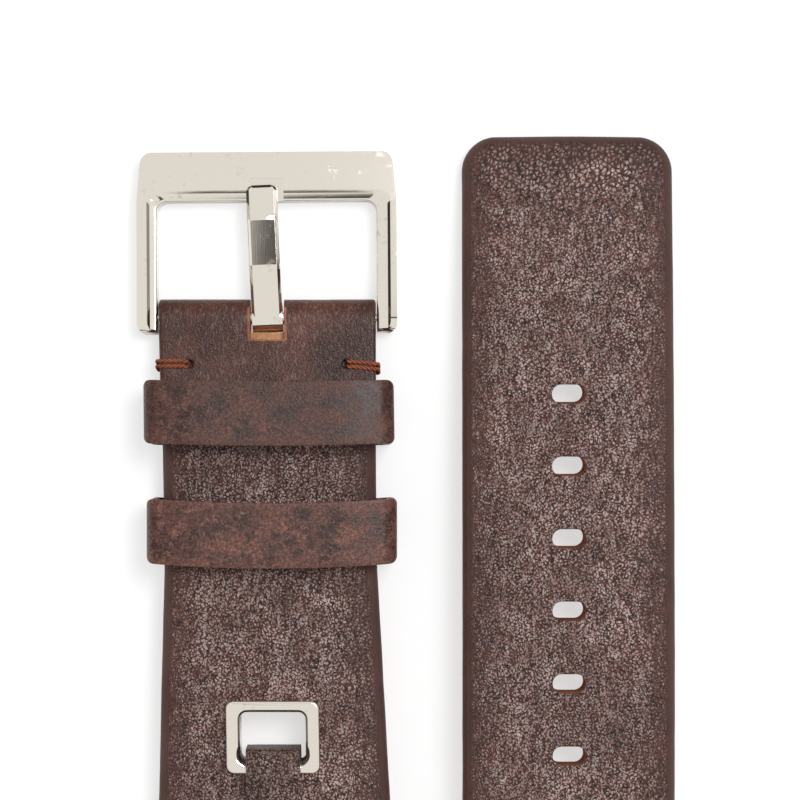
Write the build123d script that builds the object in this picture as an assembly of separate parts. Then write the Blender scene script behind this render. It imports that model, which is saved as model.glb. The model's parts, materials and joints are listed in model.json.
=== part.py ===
from build123d import *
import os
from math import asin, cos, degrees, hypot, radians, sin

# A two-piece leather watch strap, lying face up with its halves side by side.
# Millimetres. X runs across the strap, +Y from the lug ends towards the tip and the buckle, +Z up.
# The origin is the middle of the whole strap's box, on the surface that it lies on.

# Long half, seen from above
long_width = 24.0
long_length = 115.0
tip_corner = 3.5
end_corner = 2.0
slot_count = 6
first_slot = 29.3
slot_pitch = 8.16
slot_length = 3.8
slot_width = 2.15
slot_end_flat = 0.06

# Short half, seen from above
fold_to_eyelet = 49.8
fold_width = 24.8
waist_width = 24.2
waist_start = 21.0
waist_end = 31.0
lug_width = 28.0
fold_return = 20.0

# Both halves
eyelet_to_end = 30.0
gap_between_halves = 7.4
tip_lead = 1.5
arch_radius = 380.0

# Leather
strap_thick = 3.4
crown = 0.7
lining_thick = 0.8
face_thick = 0.9
lining_inset = 0.6
filler_inset = 1.3
edge_round = 0.8

# Bar and the fold round it
bar_radius = 0.75
running_gap = 0.06
liner_thick = 0.5
fold_face_thick = 0.8
fold_blend = 6.0
web_length = 8.0
tang_slot_behind = 2.7
slot_side_gap = 0.18

# Buckle frame
arm_width = 2.3
bar_taper = 0.5
fold_side_gap = 0.1
bar_reach = 18.9
bar_inner = 13.25
arm_behind = 1.85
arm_height = 3.4
bar_inner_top = 1.45
bar_outer_top = 1.1
frame_corner = 1.0
inner_bevel = 0.6
outer_round = 0.3
notch_width = 3.9
notch_reach = 15.9
tip_hole_depth = 1.3
tip_hole_gap = 0.05

# Tang
tang_width = 3.5
tang_tip_reach = 15.1
tang_sleeve_wall = 0.54
tang_rise_reach = 5.7
tang_rise_top = 2.5
tang_flat_reach = 11.3
tang_flat_top = 2.6
tang_bend_reach = 12.5
tang_bend_top = 2.2
tang_tip_top = 1.35
tang_tip_thick = 0.6
tang_thick = 1.25
tang_bevel = 0.35
tang_seat_gap = 0.04

# Spring bar
bar_end_gap = 0.1
bar_wall = 0.25
bar_end_wall = 0.5
tip_radius = 0.4
tip_collar_radius = 0.45
tip_collar_length = 2.0
tip_engagement = 1.1
spring_radius = 0.42
spring_hollow = 0.26

# Keepers
keeper_side_gap = 0.85
keeper_thick = 1.2
keeper_corner = 1.6
fixed_keeper_place = 13.35
fixed_keeper_length = 7.1
fixed_keeper_under = 1.0
free_keeper_place = 26.45
free_keeper_length = 7.3

# Eyelet
eyelet_width = 10.6
eyelet_length = 8.2
eyelet_open_width = 7.4
eyelet_open_length = 5.6
eyelet_proud = 0.8
eyelet_corner = 0.9
eyelet_open_corner = 1.2
eyelet_bevel = 0.55
barrel_wall = 0.4
washer_thick = 0.4
washer_margin = 0.6

# Lug strip
strip_width = 6.1
strip_thick = 1.5
strip_crown = 0.25
strip_gap = 0.05
strip_bend = 1.1
strip_fall = 2.0
lug_bore_radius = 1.0
lug_loop_reach = 5.0
throat_gap = 0.8

# Thread
thread_radius = 0.27
stitch_place = 7.6
stitch_reach = 3.2
stitch_strands = 3
stitch_hole_width = 0.8
thread_gap = 0.05
seam_stitches = 4
seam_pitch = 1.2
seam_place = 12.0
seam_thread_radius = 0.2

# How far a cut runs past what it cuts
overrun = 5.0

fold_radius = bar_radius + running_gap + liner_thick + fold_face_thick
fold_bore = bar_radius + running_gap
strap_middle = strap_thick / 2
short_length = fold_to_eyelet + eyelet_to_end
strip_under = washer_thick + strip_gap + strip_thick
window_width = fold_width + 2 * fold_side_gap
frame_width = window_width + 2 * arm_width
frame_top_width = frame_width - 2 * bar_taper
keeper_outer_width = waist_width + 2 * (keeper_side_gap + keeper_thick)
keeper_inner_height = 2 * strap_thick
barrel_width = eyelet_open_width + 2 * barrel_wall
barrel_length = eyelet_open_length + 2 * barrel_wall

# Places across and along, worked out from the box's middle
short_x = -(gap_between_halves + long_width) / 2
long_x = (frame_width + gap_between_halves) / 2


class Arch:
    """The gentle arch of one half: a circle through two points of the underside, in the side view."""

    def __init__(self, x, rear, front):
        across = ((rear[0] + front[0]) / 2, (rear[1] + front[1]) / 2)
        span = hypot(front[0] - rear[0], front[1] - rear[1])
        along = ((front[0] - rear[0]) / span, (front[1] - rear[1]) / span)
        fall = (arch_radius**2 - (span / 2) ** 2) ** 0.5
        self.x = x
        self.y = across[0] + along[1] * fall
        self.z = across[1] - along[0] * fall

    def angle(self, y):
        """Slope of the arch under a point of the top face, in degrees."""
        return degrees(asin((y - self.y) / (arch_radius + strap_thick)))

    def frame(self, y, height=0):
        """Where a piece sits: tangent to the arch at y, its zero on the underside."""
        turn = radians(self.angle(y))
        radius = arch_radius + height
        place = (self.x, self.y + radius * sin(turn), self.z + radius * cos(turn))
        return Location(place, (-self.angle(y), 0, 0))

    def sweep(self, section, rear, front):
        """Carries a section, drawn across the strap with its zero on the underside, along the arch."""
        face = Plane((self.x, self.y, self.z + arch_radius), x_dir=(1, 0, 0), z_dir=(0, -1, 0)) * section
        start, turn = self.angle(front), self.angle(front) - self.angle(rear)
        axis = Axis((self.x, self.y, self.z), (1, 0, 0))
        return revolve(face, axis, turn).rotate(axis, -start)


def crowned_section(width, low, edge_high, crown_high):
    """A slab's section, flat below and crowned above."""
    side = width / 2
    outline = [
        Line((-side, low), (side, low)),
        Line((side, low), (side, edge_high)),
        ThreePointArc((side, edge_high), (0, crown_high), (-side, edge_high)),
        Line((-side, edge_high), (-side, low)),
    ]
    return make_face(outline)


def ring_section(width, height, wall, floor_wall, corner):
    """A keeper's section, with its zero on the inside of its lower run."""
    outside = RectangleRounded(width, height + wall + floor_wall, corner)
    inside = RectangleRounded(width - 2 * wall, height, corner - wall)
    return Pos(0, (height + wall - floor_wall) / 2) * outside - Pos(0, height / 2) * inside


def upright(outline, low, high):
    """Stands a plan outline up as a prism between two heights."""
    return Pos(0, 0, low) * extrude(outline, high - low)


def side_piece(outline, width):
    """Gives a side-view outline, drawn as (y, z), a width across the strap."""
    face = Plane((-width / 2, 0, 0), x_dir=(0, 1, 0), z_dir=(1, 0, 0)) * outline
    return extrude(face, width)


def across_bar(radius, length, start=0.0):
    """A round bar along X, from start to start + length."""
    return Location((start, 0, 0), (0, 90, 0)) * Cylinder(
        radius, length, align=(Align.CENTER, Align.CENTER, Align.MIN)
    )


# Where each half lies along Y, before the strap is centred
tip_y = long_length
fold_y = tip_y - tip_lead - (bar_reach - fold_radius)
pin_y = fold_y - fold_radius
short_end_y = fold_y - short_length
short_eyelet_y = fold_y - fold_to_eyelet
long_end_y = tip_y - long_length
long_eyelet_y = long_end_y + eyelet_to_end

short_arch = Arch(short_x, (short_end_y, strip_under), (pin_y, fold_radius - strap_middle))
long_arch = Arch(long_x, (long_end_y, strip_under), (tip_y, 0))
pin_place = short_arch.frame(pin_y, strap_middle)


def short_outline(inset, front):
    """The short half's plan: narrowest at the keepers, widest at the lug end."""
    places = [
        (fold_width / 2, max(front, fold_y - waist_start)),
        (waist_width / 2, fold_y - waist_start),
        (waist_width / 2, fold_y - waist_end),
        (lug_width / 2, short_end_y + inset),
    ]
    right = [(short_x + half - inset, y) for half, y in places]
    left = [(short_x - half + inset, y) for half, y in reversed(places)]
    outline = make_face(Polyline(*right, *left, close=True))
    rear = outline.vertices().group_by(Axis.Y)[0]
    return fillet(rear, end_corner - inset / 2)


def long_outline(inset):
    """The long half's plan: square, with a rounded tip."""
    width, length = long_width - 2 * inset, long_length - 2 * inset
    outline = Pos(long_x, (tip_y + long_end_y) / 2) * Rectangle(width, length)
    outline = fillet(outline.vertices().group_by(Axis.Y)[-1], tip_corner - inset / 2)
    return fillet(outline.vertices().group_by(Axis.Y)[0], end_corner - inset / 2)


def layers(arch, width, plan, filler_plan, lining_plan, front):
    """The three leathers of a half, one inside the other, before any hole is cut."""
    side = width + overrun
    drop = crown * (side / width) ** 2
    rear = 2 * arch.y - front
    high = arch.z + arch_radius + strap_thick + overrun
    slab = crowned_section(side, 0, strap_thick - drop, strap_thick)
    inner = crowned_section(side, lining_thick, strap_thick - drop - face_thick, strap_thick - face_thick)
    under = Pos(0, lining_thick / 2) * Rectangle(side, lining_thick)
    reach = (rear - overrun, front + overrun)
    return [
        arch.sweep(section, *reach) & upright(outline, -overrun, high)
        for section, outline in ((slab, plan), (inner, filler_plan), (under, lining_plan))
    ]


def round_top(body, front):
    """Rounds the turned edge along the top, up to where the fold begins."""
    top = body.faces().sort_by(Axis.Z)[-1]
    edges = [edge for edge in top.edges() if edge.center().Y < front]
    return fillet(edges, edge_round)


def eyelet_hole(arch, y):
    """The hole that the eyelet's barrel fills, through all the leather."""
    hole = RectangleRounded(barrel_width, barrel_length, eyelet_open_corner)
    return arch.frame(y) * upright(hole, -overrun, strap_thick + overrun)


def long_half_leather():
    """Face leather, padding and lining of the half with the adjusting slots."""
    plans = [long_outline(0), long_outline(filler_inset), long_outline(lining_inset)]
    body, filler, lining = layers(long_arch, long_width, *plans, tip_y)
    face = round_top(body, tip_y + overrun) - filler - lining
    cuts = [eyelet_hole(long_arch, long_eyelet_y)]
    for number in range(slot_count):
        place = long_arch.frame(tip_y - first_slot - number * slot_pitch)
        outline = RectangleRounded(slot_length, slot_width, slot_width / 2 - slot_end_flat)
        cuts.append(place * upright(outline, -overrun, strap_thick + overrun))
    return {
        "long_upper_leather": (face - cuts).fix(),
        "long_filler": filler - cuts,
        "long_lining": lining - cuts,
    }


def behind(y):
    """A plan area that takes in everything of the short half behind a line across it."""
    return Pos(short_x, y - short_length) * Rectangle(2 * lug_width, 2 * short_length)


def fold_shape(radius, web):
    """The fold's side view round the bar: a round end that fairs into the flat of the strap."""
    corners = [(0, radius), (-fold_blend, web), (-fold_blend, -web), (0, -radius)]
    return Circle(radius) + make_face(Polyline(*corners, close=True))


def short_half_leather():
    """Face leather turned over the bar, its liner, the padding and the lining."""
    front = pin_y
    plan = short_outline(0, front)
    filler_plan = short_outline(filler_inset, front) & behind(pin_y - web_length)
    lining_plan = short_outline(lining_inset, front) & behind(fold_y - fold_return)
    body, filler, lining = layers(short_arch, lug_width, plan, filler_plan, lining_plan, front)
    body = round_top(body, pin_y - fold_blend)
    fold = pin_place * side_piece(fold_shape(fold_radius, strap_middle), fold_width)
    web = Pos(-web_length / 2, 0) * Rectangle(web_length, 2 * liner_thick)
    liner = pin_place * side_piece(Circle(fold_bore + liner_thick) + web, fold_width)
    bore = pin_place * across_bar(fold_bore, fold_width + 2 * overrun, -fold_width / 2 - overrun)
    slot = pin_place * Pos(0, (fold_radius + overrun - tang_slot_behind) / 2, 0) * Box(
        tang_width + 2 * slot_side_gap, fold_radius + overrun + tang_slot_behind, 2 * (fold_radius + overrun)
    )
    filler -= liner
    face = body + fold - filler - lining - liner - bore - slot
    liner = liner - bore - slot
    cuts = stitch_holes() + [eyelet_hole(short_arch, short_eyelet_y)]
    return {
        "short_upper_leather": (face - cuts).fix(),
        "short_filler": filler - cuts,
        "short_lining": lining - cuts,
        "fold_liner": liner - cuts,
    }


def stitch_centre():
    """Middle of an edge stitch's inner run, out from the middle of the strap."""
    return fold_width / 2 - stitch_reach


def stitch_frame():
    return short_arch.frame(fold_y - stitch_place, strap_middle)


def stitch_half_height():
    """Half the leather's thickness at the stitches, where the fold starts to swell."""
    behind = stitch_place - fold_radius - thread_radius * (stitch_strands + 1)
    return strap_middle + max(0, (fold_radius - strap_middle) * (1 - behind / fold_blend))


def stitch_holes():
    """The two holes that the edge stitches pass down through."""
    length = 2 * (thread_radius * stitch_strands + thread_gap)
    hole = Box(stitch_hole_width, length, 2 * strap_thick)
    return [stitch_frame() * Pos(side * stitch_centre(), 0, 0) * hole for side in (-1, 1)]


def edge_stitches():
    """Strands of thread round both edges, behind the buckle."""
    reach = stitch_reach + thread_radius + thread_gap
    high = 2 * (stitch_half_height() + thread_radius + thread_gap)
    path = RectangleRounded(reach, high, 2 * thread_radius).wire()
    strands = []
    for side in (-1, 1):
        middle = side * (stitch_centre() + reach / 2)
        for number in range(stitch_strands):
            along = (number - (stitch_strands - 1) / 2) * 2 * thread_radius
            loop = Plane.XZ * path
            start = Plane(loop @ 0, z_dir=loop % 0)
            strand = sweep(start * Circle(thread_radius), path=loop)
            strands.append(stitch_frame() * Pos(middle, along, 0) * strand)
    return Compound(children=strands)


def keeper(section, length):
    """A leather loop of one section, standing across the strap."""
    return Pos(0, length / 2, 0) * extrude(Plane.XZ * section, length)


def fixed_keeper():
    """The sewn-in loop, tight against the underside."""
    section = ring_section(
        keeper_outer_width, keeper_inner_height, keeper_thick, fixed_keeper_under, keeper_corner
    )
    place = fold_y - fixed_keeper_place
    half = fixed_keeper_length / 2
    return short_arch.sweep(section, place - half, place + half)


def free_keeper():
    """The sliding loop, resting on the surface under the strap."""
    section = ring_section(keeper_outer_width, keeper_inner_height, keeper_thick, keeper_thick, keeper_corner)
    place = (short_x, fold_y - free_keeper_place, keeper_thick)
    return Pos(*place) * keeper(section, free_keeper_length)


def buckle_frame():
    """One casting: outer bar with a notch for the tang, two arms, and a blind hole in each arm."""
    half = arm_height / 2
    side = make_face(
        Polyline(
            (-arm_behind, -half),
            (0, -half),
            (bar_reach, -fold_radius),
            (bar_reach, bar_outer_top),
            (bar_inner, bar_inner_top),
            (0, half),
            (-arm_behind, half),
            close=True,
        )
    )
    rear = side.vertices().group_by(Axis.X)[0]
    side = fillet(rear, arm_behind * 0.8)
    wide, narrow = frame_width / 2, frame_top_width / 2
    plan = make_face(
        Polyline(
            (-wide, -arm_behind),
            (wide, -arm_behind),
            (wide, bar_inner),
            (narrow, bar_reach),
            (-narrow, bar_reach),
            (-wide, bar_inner),
            close=True,
        )
    )
    plan = fillet(plan.vertices().group_by(Axis.Y)[-1], frame_corner)
    window = Pos(0, (bar_inner - arm_behind - overrun) / 2) * Rectangle(
        window_width, bar_inner + arm_behind + overrun
    )
    window = fillet(window.vertices().group_by(Axis.Y)[-1], frame_corner)
    solid = side_piece(side, frame_width + overrun) & upright(plan, -overrun, overrun)
    solid -= upright(window, -overrun, overrun)
    bevel_start = bar_inner_top - inner_bevel
    solid -= Pos(0, 0, bevel_start) * extrude(window, overrun, taper=-45)
    notch_floor = tang_tip_top - tang_tip_thick - tang_seat_gap
    solid -= Pos(0, (notch_reach + bar_inner - overrun) / 2, notch_floor + overrun / 2) * Box(
        notch_width, notch_reach - bar_inner + overrun, overrun
    )
    depth = window_width / 2 + tip_hole_depth
    solid -= across_bar(tip_radius + tip_hole_gap, 2 * depth, -depth)
    return solid


def tang():
    """The prong: a rolled sleeve on the bar, a rising face, a flat, a bend and a tip in the notch."""
    sleeve = fold_bore + tang_sleeve_wall
    top = [
        (0, sleeve),
        (tang_rise_reach, tang_rise_top),
        (tang_flat_reach, tang_flat_top),
        (tang_bend_reach, tang_bend_top),
        (tang_tip_reach, tang_tip_top),
    ]
    under = [
        (tang_tip_reach, tang_tip_top - tang_tip_thick),
        (tang_bend_reach, tang_bend_top - tang_thick),
        (tang_flat_reach, tang_flat_top - tang_thick),
        (tang_rise_reach, tang_rise_top - tang_thick),
        (sleeve, 0),
    ]
    side = make_face(Polyline(*top, *under, (0, 0), close=True)) + Circle(sleeve)
    solid = side_piece(side - Circle(fold_bore), tang_width)
    tip = solid.edges().filter_by(Axis.Z).group_by(Axis.Y)[-1]
    solid = fillet(tip, tang_width / 5)
    long_edges = [
        edge
        for edge in solid.edges()
        if edge.center().Z > sleeve and abs(edge.center().X) > tang_width / 4 and edge.length > tang_thick
    ]
    return chamfer(long_edges, tang_bevel)


def spring_bar():
    """The bar's tube, its two tips and the spring that keeps them apart."""
    length = window_width - 2 * bar_end_gap
    tube = across_bar(bar_radius, length, -length / 2)
    hollow = length - 2 * bar_end_wall
    tube -= across_bar(bar_radius - bar_wall, hollow, -hollow / 2)
    tube -= across_bar(tip_radius + tip_hole_gap, length + 2 * overrun, -length / 2 - overrun)
    collar_start = hollow / 2 - tip_collar_length
    tip_end = window_width / 2 + tip_engagement
    tip = across_bar(tip_radius, tip_end - collar_start, collar_start)
    tip += across_bar(tip_collar_radius, tip_collar_length, collar_start)
    spring = across_bar(spring_radius, 2 * collar_start, -collar_start)
    spring -= across_bar(spring_hollow, 2 * collar_start, -collar_start)
    return {
        "spring_bar_tube": tube,
        "spring_bar_tip_right": tip,
        "spring_bar_tip_left": mirror(tip, Plane.YZ),
        "spring_bar_spring": spring,
    }


def eyelet(arch, y):
    """The framed eyelet on the face, its barrel through the leather and the washer underneath."""
    frame = RectangleRounded(eyelet_width, eyelet_length, eyelet_corner)
    hole = RectangleRounded(eyelet_open_width, eyelet_open_length, eyelet_open_corner - barrel_wall)
    barrel = RectangleRounded(barrel_width, barrel_length, eyelet_open_corner)
    flange = upright(frame, strap_thick, strap_thick + eyelet_proud)
    flange = fillet(flange.edges().group_by(Axis.Z)[-1], outer_round)
    solid = flange + upright(barrel, -washer_thick, strap_thick) - upright(hole, -overrun, overrun * 2)
    rim = [
        edge
        for edge in solid.edges().group_by(Axis.Z)[-1]
        if abs(edge.center().X) <= eyelet_open_width / 2 + thread_gap
        and abs(edge.center().Y) <= eyelet_open_length / 2 + thread_gap
    ]
    solid = chamfer(rim, eyelet_bevel)
    width, length = barrel_width + 2 * washer_margin, barrel_length + 2 * washer_margin
    arch_fall = (length / 2) ** 2 / (2 * arch_radius)
    washer = upright(RectangleRounded(width, length, eyelet_corner) - barrel, -washer_thick, -arch_fall)
    place = arch.frame(y)
    return place * solid, place * washer


def lug_strip(arch, eyelet_y, end_y):
    """The closed band: up through the eyelet, along the face, round the watch's bar and back."""
    edge = eyelet_open_length / 2
    rim = strap_thick + eyelet_proud + strip_gap
    low = -washer_thick - strip_gap
    inner_y = -edge + strip_gap
    outside = eyelet_length / 2 + strip_gap
    run_start = -outside - strip_fall
    face_low = strap_thick + strip_gap
    hook = make_face(
        Polyline(
            (run_start, face_low),
            (-outside, rim),
            (inner_y, rim),
            (inner_y, low),
            (run_start, low),
            (run_start, low - strip_thick),
            (inner_y + strip_thick, low - strip_thick),
            (inner_y + strip_thick, rim + strip_thick),
            (-outside, rim + strip_thick),
            (run_start, face_low + strip_thick),
            close=True,
        )
    )
    corners = [v for v in hook.vertices() if v.X > inner_y + strip_gap]
    hook = fillet(corners, strip_bend)
    band = arch.frame(eyelet_y) * side_piece(hook, strip_width)
    join_y = (arch.frame(eyelet_y) * Pos(0, run_start, 0)).position.Y
    over = crowned_section(strip_width, face_low, face_low + strip_thick - strip_crown, face_low + strip_thick)
    under = Pos(0, low - strip_thick / 2) * Rectangle(strip_width, strip_thick)
    band += arch.sweep(over, end_y, join_y)
    band += arch.sweep(under, end_y, join_y)
    high = face_low + strip_thick
    middle = (high + low - strip_thick) / 2
    outer = lug_bore_radius + strip_thick
    loop = make_face(
        Polyline(
            (0, high),
            (-lug_loop_reach, middle + outer),
            (-lug_loop_reach, middle - outer),
            (0, low - strip_thick),
            close=True,
        )
    )
    loop += Pos(-lug_loop_reach, middle) * Circle(outer)
    loop -= Pos(-lug_loop_reach, middle) * Circle(lug_bore_radius)
    throat = -lug_loop_reach + lug_bore_radius + throat_gap
    loop -= make_face(Polyline((0, face_low), (throat, middle), (0, low), close=True))
    band += arch.frame(end_y) * side_piece(loop, strip_width)
    bore = arch.frame(end_y) * Pos(0, -lug_loop_reach, middle)
    return band, bore.position


def seam(arch, eyelet_y):
    """The row of stitches that closes the band underneath."""
    low = -strip_under - seam_thread_radius
    stitches = []
    place = arch.frame(eyelet_y - seam_place)
    for number in range(seam_stitches):
        across = (number - (seam_stitches - 1) / 2) * seam_pitch
        stitch = Location((across, seam_pitch / 2, low), (90, 0, 0)) * Cylinder(
            seam_thread_radius, seam_pitch, align=(Align.CENTER, Align.CENTER, Align.MIN)
        )
        stitches.append(place * stitch)
    return Compound(children=stitches)


def lug_fittings(arch, prefix, eyelet_y, end_y):
    """Eyelet, washer, strip and seam of one half."""
    front, washer = eyelet(arch, eyelet_y)
    strip, bore = lug_strip(arch, eyelet_y, end_y)
    pieces = {
        prefix + "_eyelet": front,
        prefix + "_eyelet_back": washer,
        prefix + "_lug_strip": strip,
        prefix + "_strip_stitches": seam(arch, eyelet_y),
    }
    return pieces, bore


def buckle_pieces():
    """Frame, tang and spring bar, lying level on the bar's axis."""
    pieces = {"buckle_frame": buckle_frame(), "tang": tang()} | spring_bar()
    return {name: Pos(*pin_place.position) * piece for name, piece in pieces.items()}


def bounds(pieces):
    """Lowest and highest corner of several pieces together."""
    boxes = [piece.bounding_box() for piece in pieces]
    low = [min(getattr(box.min, side) for box in boxes) for side in "XYZ"]
    high = [max(getattr(box.max, side) for box in boxes) for side in "XYZ"]
    return low, high


def build():
    """All pieces, centred on the surface they lie on, and the places that matter to other parts."""
    fittings, short_bore = lug_fittings(short_arch, "short", short_eyelet_y, short_end_y)
    short = short_half_leather() | buckle_pieces() | fittings
    short |= {"edge_stitches": edge_stitches(), "fixed_keeper": fixed_keeper()}
    fittings, long_bore = lug_fittings(long_arch, "long", long_eyelet_y, long_end_y)
    long = long_half_leather() | fittings
    settle_short = Pos(0, 0, -bounds(short.values())[0][2])
    settle_long = Pos(0, 0, -bounds(long.values())[0][2])
    nodes = {name: settle_short * piece for name, piece in short.items()}
    nodes["free_keeper"] = free_keeper()
    nodes |= {name: settle_long * piece for name, piece in long.items()}
    low, high = bounds(nodes.values())
    centre = Pos(-(low[0] + high[0]) / 2, -(low[1] + high[1]) / 2, 0)
    places = {
        "bar axis": settle_short * Pos(*pin_place.position),
        "short lug bore": settle_short * Pos(*short_bore),
        "long lug bore": settle_long * Pos(*long_bore),
    }
    nodes = {name: centre * piece for name, piece in nodes.items()}
    return nodes, {name: centre * place for name, place in places.items()}


os.makedirs("parts", exist_ok=True)
nodes, places = build()
for name, piece in nodes.items():
    export_step(piece, "parts/" + name + ".step")
for name, place in places.items():
    print(name, place.position)
print("box", *bounds(nodes.values()))
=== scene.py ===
# %% [markdown]
# # A leather watch strap and its buckle
# The strap is a pair of halves that lie face up, side by side. The long half is a padded band of brown
# leather with a rounded tip and six adjusting slots. The short half is folded round the bar of a polished
# buckle and carries two leather loops. Near its lug end each half has a framed eyelet, and a narrow strip
# that comes up through it and goes round the bar of the watch case.
# The solid model gives every place and size. This script dresses it: soft rolled edges, grain, thread
# and polish, on a pale floor under soft light.

# %% Load the solid model
import bmesh
import bpy
import json
from math import asin, atan2, cos, hypot, pi, radians, sin, sqrt
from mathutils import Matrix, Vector


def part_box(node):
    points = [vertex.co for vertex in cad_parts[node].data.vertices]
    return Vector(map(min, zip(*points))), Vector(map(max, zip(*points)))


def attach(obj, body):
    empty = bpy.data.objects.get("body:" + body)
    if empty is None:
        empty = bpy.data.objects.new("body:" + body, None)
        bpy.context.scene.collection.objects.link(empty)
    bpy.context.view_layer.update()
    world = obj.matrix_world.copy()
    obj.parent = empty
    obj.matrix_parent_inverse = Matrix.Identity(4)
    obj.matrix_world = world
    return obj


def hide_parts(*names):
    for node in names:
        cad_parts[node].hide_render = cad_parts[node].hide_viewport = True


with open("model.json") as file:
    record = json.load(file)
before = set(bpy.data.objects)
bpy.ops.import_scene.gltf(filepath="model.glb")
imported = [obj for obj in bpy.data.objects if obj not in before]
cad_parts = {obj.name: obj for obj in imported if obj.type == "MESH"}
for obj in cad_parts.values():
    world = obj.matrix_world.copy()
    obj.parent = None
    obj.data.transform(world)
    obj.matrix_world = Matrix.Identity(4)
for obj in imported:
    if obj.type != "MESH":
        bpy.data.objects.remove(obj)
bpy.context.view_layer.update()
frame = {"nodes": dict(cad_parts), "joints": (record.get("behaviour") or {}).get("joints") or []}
mm = 0.001

# %% [markdown]
# ## Working as by hand
# Operators act on what is selected, so each step first selects one piece, and inside it the points, edges
# or faces that the step is for. They are found by their place, which holds even when the counts change.

# %% Select a piece, and pick parts of it
def only(*pieces):
    """Selects these pieces alone, the first one active."""
    bpy.ops.object.select_all(action="DESELECT")
    for piece in pieces:
        piece.select_set(True)
    bpy.context.view_layer.objects.active = pieces[0]


def edit(piece, action="DESELECT"):
    """Opens a piece in edit mode, with nothing selected or all of it."""
    only(piece)
    bpy.ops.object.mode_set(mode="EDIT")
    bpy.ops.mesh.select_all(action=action)


def leave():
    """Back from edit mode."""
    bpy.ops.object.mode_set(mode="OBJECT")


def pick(kind, test):
    """Selects the points, edges or faces whose middle and points pass a test."""
    bpy.ops.mesh.select_mode(type=kind)
    bpy.ops.mesh.select_all(action="DESELECT")
    mesh = bmesh.from_edit_mesh(bpy.context.object.data)
    for part in {"VERT": mesh.verts, "EDGE": mesh.edges, "FACE": mesh.faces}[kind]:
        points = [part.co] if kind == "VERT" else [vertex.co for vertex in part.verts]
        middle = sum(points, Vector()) / len(points)
        part.select_set(bool(test(middle, points)))
    mesh.select_flush_mode()
    bmesh.update_edit_mesh(bpy.context.object.data)


def start(kind, name, **settings):
    """A new piece of one of Blender's own kinds, its turn applied."""
    bpy.ops.object.select_all(action="DESELECT")
    getattr(bpy.ops.mesh, f"primitive_{kind}_add")(**settings)
    piece = bpy.context.object
    piece.name = name
    bpy.ops.object.transform_apply(location=True, rotation=True, scale=True)
    return piece


def draw_out(x=0, y=0, z=0):
    """Extrudes what is selected by this much."""
    bpy.ops.mesh.extrude_region_move(TRANSFORM_OT_translate={"value": (x, y, z)})


# %% Apply a modifier, cut, join and clean
weld_gap = 0.002 * mm


def apply(piece, kind, **settings):
    """Gives a piece a modifier with these settings, and applies it."""
    modifier = piece.modifiers.new(kind.title(), kind)
    for name, value in settings.items():
        setattr(modifier, name, value)
    only(piece)
    bpy.ops.object.modifier_apply(modifier=modifier.name)


def remove(piece):
    """Takes a piece out of the scene."""
    bpy.data.objects.remove(piece, do_unlink=True)


def cut(piece, *cutters):
    """Cuts each cutter out of a piece and removes it. The new walls keep the cutter's material."""
    for cutter in cutters:
        how = {"operation": "DIFFERENCE", "solver": "EXACT", "material_mode": "TRANSFER"}
        apply(piece, "BOOLEAN", object=cutter, **how)
        remove(cutter)


def join(piece, other):
    """Makes one closed piece of two that overlap."""
    apply(piece, "BOOLEAN", operation="UNION", solver="EXACT", object=other)
    remove(other)


def weld(piece):
    """Merges points that coincide and turns every face outwards."""
    edit(piece, "SELECT")
    bpy.ops.mesh.remove_doubles(threshold=weld_gap)
    bpy.ops.mesh.normals_make_consistent(inside=False)
    leave()


def reshape(piece, formula):
    """Moves each point to where a formula of its place puts it."""
    for point in piece.data.vertices:
        point.co = formula(*point.co)
    piece.data.update()


def paint(piece, name, formula):
    """Keeps a number for each point, which a material can read."""
    layer = piece.data.attributes.new(name, "FLOAT", "POINT")
    layer.data.foreach_set("value", [formula(*point.co) for point in piece.data.vertices])


leather_crease, liner_crease, thread_crease, plate_crease, metal_crease = 50, 40, 60, 35, 32


def smooth(piece, angle):
    """Smooth shading, but for edges sharper than this angle in degrees."""
    only(piece)
    bpy.ops.object.shade_smooth_by_angle(angle=radians(angle))


def copy(piece, name):
    """A second piece with a mesh of its own."""
    other = piece.copy()
    other.data = piece.data.copy()
    other.name = name
    bpy.context.scene.collection.objects.link(other)
    return other


# %% [markdown]
# ## Sizes, and the gentle arch
# A strap is made on a curved last, so each half arches a little. Every layer has to follow the same arch,
# or the layers would part. A bend modifier measures each mesh by itself, so pieces of unlike length bend
# differently. Here each piece is made flat, with its height above the underside as z, and one formula
# then lays it on a circle that is read from the solid model. The short half also leans a little, as it lay
# on its paper.

# %% The arch of a half
arch_radius = 380 * mm
strap_thick = 3.4 * mm
strap_middle = strap_thick / 2
short_lean = 0.016


class Arch:
    """A circle in the side view, found from the height of its crown and one place on it."""

    def __init__(self, top, y, z, height, lean=0.0):
        self.lean = lean
        self.start = y
        self.z = top - arch_radius - strap_thick
        self.y = y - sqrt((arch_radius + height) ** 2 - (z - self.z) ** 2)

    def bend(self, x, y, z):
        """Where a point of the flat piece goes."""
        turn = asin((y - self.y) / (arch_radius + strap_thick))
        x += self.lean * (self.start - y)
        return x, self.y + (arch_radius + z) * sin(turn), self.z + (arch_radius + z) * cos(turn)

    def flat(self, y, z):
        """Where a place on the arched strap is along the flat piece."""
        return self.y + (arch_radius + strap_thick) * sin(atan2(y - self.y, z - self.z))


bar = Vector(next(joint for joint in frame["joints"] if joint["name"] == "buckle_hinge")["pos_m"])
long_low, long_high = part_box("long_upper_leather")
short_low, short_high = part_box("short_upper_leather")
long_arch = Arch(long_high.z, long_high.y, long_low.z, 0)
short_arch = Arch(short_high.z, bar.y, bar.z, strap_middle, short_lean)
bar_y = short_arch.flat(bar.y, bar.z)
print("arch centres and bar:", [round(y / mm, 2) for y in (long_arch.y, short_arch.y, bar_y)])

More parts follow.
